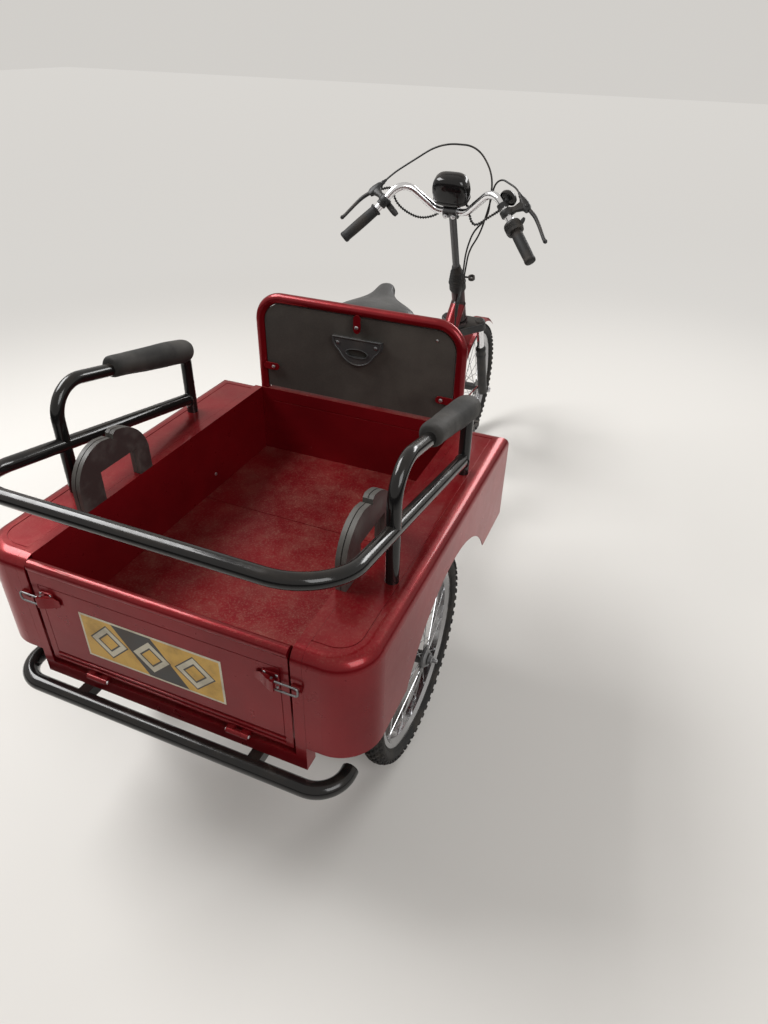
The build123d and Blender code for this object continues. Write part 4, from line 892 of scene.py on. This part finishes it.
def fork_trim(side):
    """Crown cap, wiper seal and lower collar of one fork leg."""
    def leg(height):
        return on_axis(height, 0.034, side * 0.060)
    cap = turned([(0, 0), (0.0150, 0), (0.0150, 0.002), (0.0120, 0.0055), (0.0060, 0.0065), (0, 0.0065)],
                 leg(0.3668), STEER_UP, 32)
    seal = turned([(0.0126, 0), (0.0182, 0), (0.0185, 0.006), (0.0165, 0.010), (0.0150, 0.016), (0.0126, 0.017)],
                  leg(0.230), STEER_UP, 40, True)
    collar = turned([(0.0172, 0), (0.0186, 0.001), (0.0186, 0.010), (0.0172, 0.011)], leg(0.200), STEER_UP, 40, True)
    return gather(cap, seal, collar)


for name, side in SIDES:
    piece("fork_trim_" + name, fork_trim(side), plastic_black, "steering")
    nut = hex_bolt((side * 0.0782, FRONT_Y, AXLE_Z), (side, 0, 0), 0.0090, 0.007)
    piece("front_nut_" + name, nut, zinc, "steering")

# Saddle, turned about its post. Sections as (share of the length, half width, top below the highest point,
# foot below it, power)
SADDLE_TURN = math.radians(12.0)
SADDLE_PIVOT = Vector((0, -0.1009, 0))
SADDLE_TOP, SADDLE_BACK, SADDLE_LONG = 0.875, REAR_Y + 0.424, 0.240
SADDLE_CUTS = [(0.005, 0.060, 0.020, 0.040, 2.2), (0.03, 0.082, 0.010, 0.047, 2.6), (0.10, 0.102, 0.003, 0.055, 2.8),
               (0.20, 0.1060, 0.0005, 0.060, 2.8), (0.32, 0.090, 0.002, 0.058, 2.8),
               (0.45, 0.064, 0.005, 0.055, 2.7), (0.58, 0.043, 0.0065, 0.052, 2.6),
               (0.70, 0.031, 0.005, 0.049, 2.5), (0.82, 0.0255, 0.002, 0.046, 2.4),
               (0.92, 0.0235, 0.0025, 0.044, 2.3), (0.975, 0.0185, 0.008, 0.041, 2.2),
               (0.997, 0.009, 0.018, 0.034, 2.0)]


def saddle_cover():
    """Saddle with a wide dished rear, a narrow waist and a long rounded nose, turned a little left."""
    form = lofted([((0, SADDLE_BACK + share * SADDLE_LONG, SADDLE_TOP - (high + low) / 2), (1, 0, 0), (0, 0, 1),
                    half, (low - high) / 2, power) for share, half, high, low, power in SADDLE_CUTS], 40)
    dished = 0.030
    for vert in form.verts:
        share = (vert.co.y - SADDLE_BACK) / SADDLE_LONG
        over = max(0.0, vert.co.z - (SADDLE_TOP - dished)) / dished
        groove = math.exp(-(vert.co.x / 0.010) ** 2) * max(0.0, 1 - abs(share - 0.45) * 2.2)
        wing = min(1.0, abs(vert.co.x) / 0.1) ** 2
        vert.co.z -= over * (0.0035 * groove + 0.007 * wing)
    bmesh.ops.rotate(form, cent=SADDLE_PIVOT, matrix=Matrix.Rotation(SADDLE_TURN, 3, "Z"), verts=form.verts)
    return form


cushion("saddle_cover", saddle_cover(), saddle_black, "saddle")

# Arm pads: the axis of a pad lies over the tube's own axis, which runs in its lower part
ARM_X = 0.348
PAD_ENDS = [Vector((0, REAR_Y - 0.054, 0.8430)), Vector((0, REAR_Y + 0.206, 0.7885))]
PAD_REAR_R, PAD_CROWN, CROWN_AT = 0.0236, 0.0042, 0.75
PAD_HEEL, PAD_CAP = 0.012, 0.030


def foam_pad(side):
    """Moulded foam pad over the tube: blunt behind, crowned towards its round front, dented where hands rest."""
    start, end = (p + Vector((side * ARM_X, 0, 0)) for p in PAD_ENDS)
    axis = (end - start).normalized()
    length = (end - start).length
    profile = [(0, 0.0006), (0.0100, 0.0003), (0.0170, 0.0), (0.0215, 0.0022), (0.0232, 0.0070)]
    rows, cap_rows = 26, 8
    for i in range(rows + 1):
        far = PAD_HEEL + (length - PAD_HEEL - PAD_CAP) * i / rows
        rise = math.sin(math.pi / 2 * min(1.0, far / length / CROWN_AT)) ** 2
        profile.append((PAD_REAR_R + PAD_CROWN * rise, far))
    front = profile[-1][0]
    for i in range(1, cap_rows):
        turn = math.pi / 2 * i / cap_rows
        profile.append((front * math.cos(turn), length - PAD_CAP + PAD_CAP * math.sin(turn)))
    profile.append((0, length))
    form = turned(profile, start, axis, 44)
    for vert in form.verts:
        arm = vert.co - start
        arm -= axis * arm.dot(axis)
        if arm.length > 0.015:
            dent = noise.noise(vert.co * 22.0 + Vector((side * 9, 0, 0))) * 0.0011
            dent += noise.noise(vert.co * 75.0) * 0.0003
            flat = max(0.0, arm.normalized().z - 0.70) * 0.006
            vert.co += arm.normalized() * (dent - flat)
    return form


for name, side in SIDES:
    cushion("arm_pad_" + name, foam_pad(side), pad_foam, "arm_pads")

# Tailgate: latches, hinge pins, decal and hem
GATE_FACE = BED_BACK_Y + 0.002
LATCH_X, LATCH_Z = 0.236, 0.560
HINGE_X, HINGE_Z = 0.155, 0.395
# Folded lever as (across, out, half height) and the upper half of the wire loop as (across, half height)
LATCH_LEVER = [(-0.034, 0.004, 0.007), (-0.022, 0.0050, 0.0115), (-0.008, 0.0120, 0.012),
               (0.003, 0.0165, 0.012), (0.008, 0.0165, 0.011)]
LATCH_WIRE = [(-0.002, 0.009), (0.012, 0.009), (0.036, 0.0092), (0.0492, 0.0088)]
WIRE_OUT = 0.0114


def latch(side):
    """Pressed base, folded lever, rivets and a wire loop drawn over the catch."""
    def at(x, out, z):
        return Vector((side * (LATCH_X + x), GATE_FACE - out, LATCH_Z + z))
    base = blocky(at(-0.004, 0.0015, 0), (0.032, 0.003, 0.034), 0.0012)
    lever = bmesh.new()
    upper = [lever.verts.new(at(x, out, half)) for x, out, half in LATCH_LEVER]
    lower = [lever.verts.new(at(x, out, -half)) for x, out, half in LATCH_LEVER]
    lever.faces.new(upper + lower[::-1])
    for fold in (1, 2, 3):
        bmesh.ops.connect_verts(lever, verts=[upper[fold], lower[fold]])
    rim = [e for e in lever.edges if e.is_boundary]
    skirt = bmesh.ops.extrude_edge_only(lever, edges=rim)["geom"]
    for vert in [g for g in skirt if isinstance(g, bmesh.types.BMVert)]:
        vert.co.y += min(0.0075, GATE_FACE - 0.0032 - vert.co.y)
    bmesh.ops.recalc_face_normals(lever, faces=lever.faces)
    bmesh.ops.solidify(lever, geom=lever.faces[:], thickness=0.0011)
    loop = [at(x, WIRE_OUT, half) for x, half in LATCH_WIRE] + [at(0.0500, WIRE_OUT, 0.0)]
    loop += [at(x, WIRE_OUT, -half) for x, half in reversed(LATCH_WIRE)]
    rivets = [turned([(0, 0), (0.0028, 0), (0.0022, 0.0013), (0, 0.0017)], at(x, 0.003, z), (0, -1, 0), 14)
              for x in (-0.015, 0.008) for z in (0.013, -0.013)]
    pin = turned([(0, -0.0135), (0.0024, -0.0135), (0.0024, 0.0135), (0, 0.0135)], at(0.002, 0.0100, 0), (0, 0, 1), 12)
    return gather(base, lever), gather(tube(loop, 0.0019), pin, *rivets)


for name, side in SIDES:
    plate, wire = latch(side)
    piece("latch_plate_" + name, plate, body_red, "gate", ["tailgate_latches"], 30)
    piece("latch_wire_" + name, wire, dark_steel, "gate")
    ends = [turned([(0, 0), (0.0036, 0), (0.0036, 0.0012), (0.0025, 0.0022), (0, 0.0022)],
                   (side * HINGE_X + end * 0.0225, BED_BACK_Y - 0.006, HINGE_Z), (end, 0, 0), 14) for end in (-1, 1)]
    piece("hinge_pin_" + name, gather(*ends), zinc, "gate")

film = blocky((DECAL_X, GATE_FACE - 0.0003, DECAL_Z), (DECAL_WIDE, 0.0006, DECAL_TALL), 0.0002, 1)
piece("gate_decal", film, decal_paint, "gate")
hem = [blocky((0, GATE_FACE - 0.0012, z), (0.500, 0.0026, 0.0035), 0.0012) for z in (0.4085, 0.4195)]
piece("gate_hem", gather(*hem), body_red, "gate")

# Board: the handle's rim and bead, and the fastenings
BOARD_Y = HOOP_Y - 0.006
HANDLE_X, HANDLE_TOP, HANDLE_TALL = 0.006, 0.811, 0.062
HANDLE_HALF, BOW_R, BEAD_R = 0.063, 0.0495, 0.0024


def handle_trim():
    """Raised rim round the handle's hole and a bead along its D-shaped edge."""
    rim = turned(round_section(1.0, 0, 0.07, BEAD_R, 10), (0, 0, 0), (0, -1, 0), 48, True)
    bmesh.ops.scale(rim, vec=(0.0290, 1.0, 0.0108), verts=rim.verts)
    hole = Vector((HANDLE_X, BOARD_Y - 0.0090, HANDLE_TOP - HANDLE_TALL * 0.58))
    bmesh.ops.translate(rim, vec=hole, verts=rim.verts)
    outline = [(-HANDLE_HALF, 0.0), (-HANDLE_HALF, -0.0195)]
    for i in range(13):
        turn = math.radians(24 + 11 * i)
        outline.append((-BOW_R * math.cos(turn), -0.0160 - BOW_R * math.sin(turn)))
    outline += [(HANDLE_HALF, -0.0195), (HANDLE_HALF, 0.0)]
    beads = [tube([Vector((HANDLE_X + dx, BOARD_Y - 0.0085, HANDLE_TOP + dz)) for dx, dz in line], BEAD_R)
             for line in (outline, [(dx, -0.001) for dx in (-0.064, 0.0, 0.064)])]
    return gather(rim, *beads)


piece("handle_trim", handle_trim(), handle_grey, "chassis")

# Screws of the handle, of the board's turn tabs and top edge, and on the bed's left wall, as (place, axis, size)
BACK = (0, -1, 0)
HANDLE_SCREWS = [((HANDLE_X + dx, BOARD_Y - 0.0088, HANDLE_TOP - 0.0145), BACK, 0.0048) for dx in (-0.050, 0.050)]
BOARD_SCREWS = [((0.007, HOOP_Y - 0.0178, 0.8400), BACK, 0.0050), ((-0.2265, HOOP_Y - 0.0178, 0.701), BACK, 0.0050),
                ((0.2265, HOOP_Y - 0.0178, 0.698), BACK, 0.0050), ((0.205, BOARD_Y + 0.0002, 0.838), BACK, 0.0032),
                ((-0.2690, -0.4746, 0.4987), (1, 0, 0), 0.0048)]
for name, screws, paint in (("handle", HANDLE_SCREWS, dark_steel), ("board", BOARD_SCREWS, dull_steel)):
    heads = [round_screw(*screw) for screw in screws]
    piece(name + "_screws", gather(*heads), paint, "chassis")

# Welds of the arm loops' lower tubes, which drop forward from the rear posts, where they meet the front ones
POST_AHEAD, POST_BEHIND, POST_R = 0.187, 0.212, 0.0128
RAIL_Z, RAIL_DROP = 0.742, 0.1805
weld_z = RAIL_Z - RAIL_DROP * (POST_AHEAD + POST_BEHIND)
welds = [weld((side * ARM_X, REAR_Y + POST_AHEAD - POST_R, weld_z), (0, 1, 0), 0.0138, 0.0030) for side in (-1, 1)]
piece("tube_welds", gather(*welds), tube_black, "chassis")
welds = [weld(on_axis(height), STEER_UP, 0.0245, 0.0026) for height in (HEAD_LOW + 0.012, HEAD_TOP - 0.012)]
piece("neck_welds", gather(*welds), frame_red, "chassis")

# Chain round the chainring and the axle sprocket: their middles and radii, its plane and its pitch
RING_AT, RING_R = Vector((0.0, REAR_Y + 0.870, 0.270)), 0.0830
SPROCKET_AT, SPROCKET_R = Vector((0.0, REAR_Y, AXLE_Z)), 0.0440
CHAIN_X, CHAIN_PITCH = 0.046, 0.0127


def drive_chain():
    """Closed loop of links round the chainring and the axle sprocket."""
    run = RING_AT - SPROCKET_AT
    lean = math.asin((RING_R - SPROCKET_R) / run.length)
    level = math.atan2(run.z, run.y)
    upper, lower = level + math.pi / 2 + lean, level - math.pi / 2 - lean
    flat = run.length * math.cos(lean)
    ring_arc, sprocket_arc = (math.pi + 2 * lean) * RING_R, (math.pi - 2 * lean) * SPROCKET_R
    total = 2 * flat + ring_arc + sprocket_arc
    links = 2 * round(total / CHAIN_PITCH / 2)

    def way(turn):
        return Vector((0, math.cos(turn), math.sin(turn)))

    whole = bmesh.new()
    for i in range(links):
        far = total * i / links
        middle, radius, turn, ahead = SPROCKET_AT, SPROCKET_R, upper, far
        if far >= 2 * flat + ring_arc:
            turn, ahead = lower - (far - 2 * flat - ring_arc) / SPROCKET_R, 0.0
        elif far >= flat + ring_arc:
            middle, radius, turn, ahead = RING_AT, RING_R, lower, far - flat - ring_arc
        elif far >= flat:
            middle, radius, turn, ahead = RING_AT, RING_R, upper - (far - flat) / RING_R, 0.0
        heading = turn - math.pi / 2
        at = middle + way(turn) * radius + way(heading) * ahead + Vector((CHAIN_X, 0, 0))
        stand = Matrix.Translation(at) @ Matrix.Rotation(heading, 4, "X")
        half = 0.0022 if i % 2 else 0.0033
        for face in (-1, 1):
            plate = Matrix.Translation((face * half, 0.0058, 0)) @ Matrix.Diagonal((0.0009, 0.0130, 0.0060, 1))
            bmesh.ops.create_cube(whole, size=1.0, matrix=stand @ plate)
        bmesh.ops.create_cone(whole, cap_ends=True, segments=8, radius1=0.0036, radius2=0.0036, depth=0.0036,
                              matrix=stand @ Matrix.Rotation(math.pi / 2, 4, "Y"))
    return whole


piece("drive_chain", drive_chain(), dark_steel, "chassis", ["chain"], 30)

# Pale floor and room, and large soft lamps as (name, place, aim, width, height, watts)
PALE, BLACK = colour(0.64, 0.62, 0.59), colour(0, 0, 0)
LAMPS = [("lamp_key", (-2.5, -0.6, 3.5), (0, -0.2, 0.5), 2.6, 1.6, 190.0),
         ("lamp_fill", (3.2, -2.4, 3.0), (0, -0.2, 0.5), 2.2, 2.2, 92.0),
         ("lamp_back", (1.6, 3.6, 2.6), (0, 0, 0.5), 2.6, 1.0, 92.0)]
# How strongly the room lights the part, and how strongly it is seen
ROOM_LIGHT, ROOM_SEEN = 0.36, 1.0


def build_floor():
    """Floor that is lit near the part and, to the camera alone, goes over into the room's own tone far off."""
    grid = bmesh.new()
    bmesh.ops.create_grid(grid, x_segments=1, y_segments=1, size=20.0)
    pale = Paint("floor_pale")
    seen = pale.node("ShaderNodeLightPath", out="Is Camera Ray")
    away = pale.vector("LENGTH", {0: pale.place}, "Value").above(1.4, 3.6)
    pale.finish(Base_Color=pale.mix(PALE, BLACK, away), Roughness=0.85, Emission_Strength=1.0,
                Emission_Color=pale.mix(BLACK, PALE, away * seen))
    painted("studio_floor", grid, pale)


def build_room():
    """World of one pale tone. Camera, glossy and transmission rays see it at full strength."""
    room = Paint("soft_room", bpy.data.worlds, "Background")
    camera, glossy, through = (room.node("ShaderNodeLightPath", out=ray)
                               for ray in ("Is Camera Ray", "Is Glossy Ray", "Is Transmission Ray"))
    seen = camera.larger(glossy).larger(through)
    room.finish(Color=PALE, Strength=seen * (ROOM_SEEN - ROOM_LIGHT) + ROOM_LIGHT)
    bpy.context.scene.world = room.block


def build_lamps():
    """Area lamps, each turned towards its aim."""
    for name, place, aim, width, height, watts in LAMPS:
        data = bpy.data.lights.new(name, "AREA")
        data.shape = "RECTANGLE"
        data.size, data.size_y, data.energy = width, height, watts
        lamp = bpy.data.objects.new(name, data)
        lamp.location = place
        lamp.rotation_euler = (Vector(aim) - Vector(place)).to_track_quat("-Z", "Y").to_euler()
        bpy.context.collection.objects.link(lamp)


build_floor()
build_room()
build_lamps()
bpy.context.scene.view_settings.view_transform = "Standard"
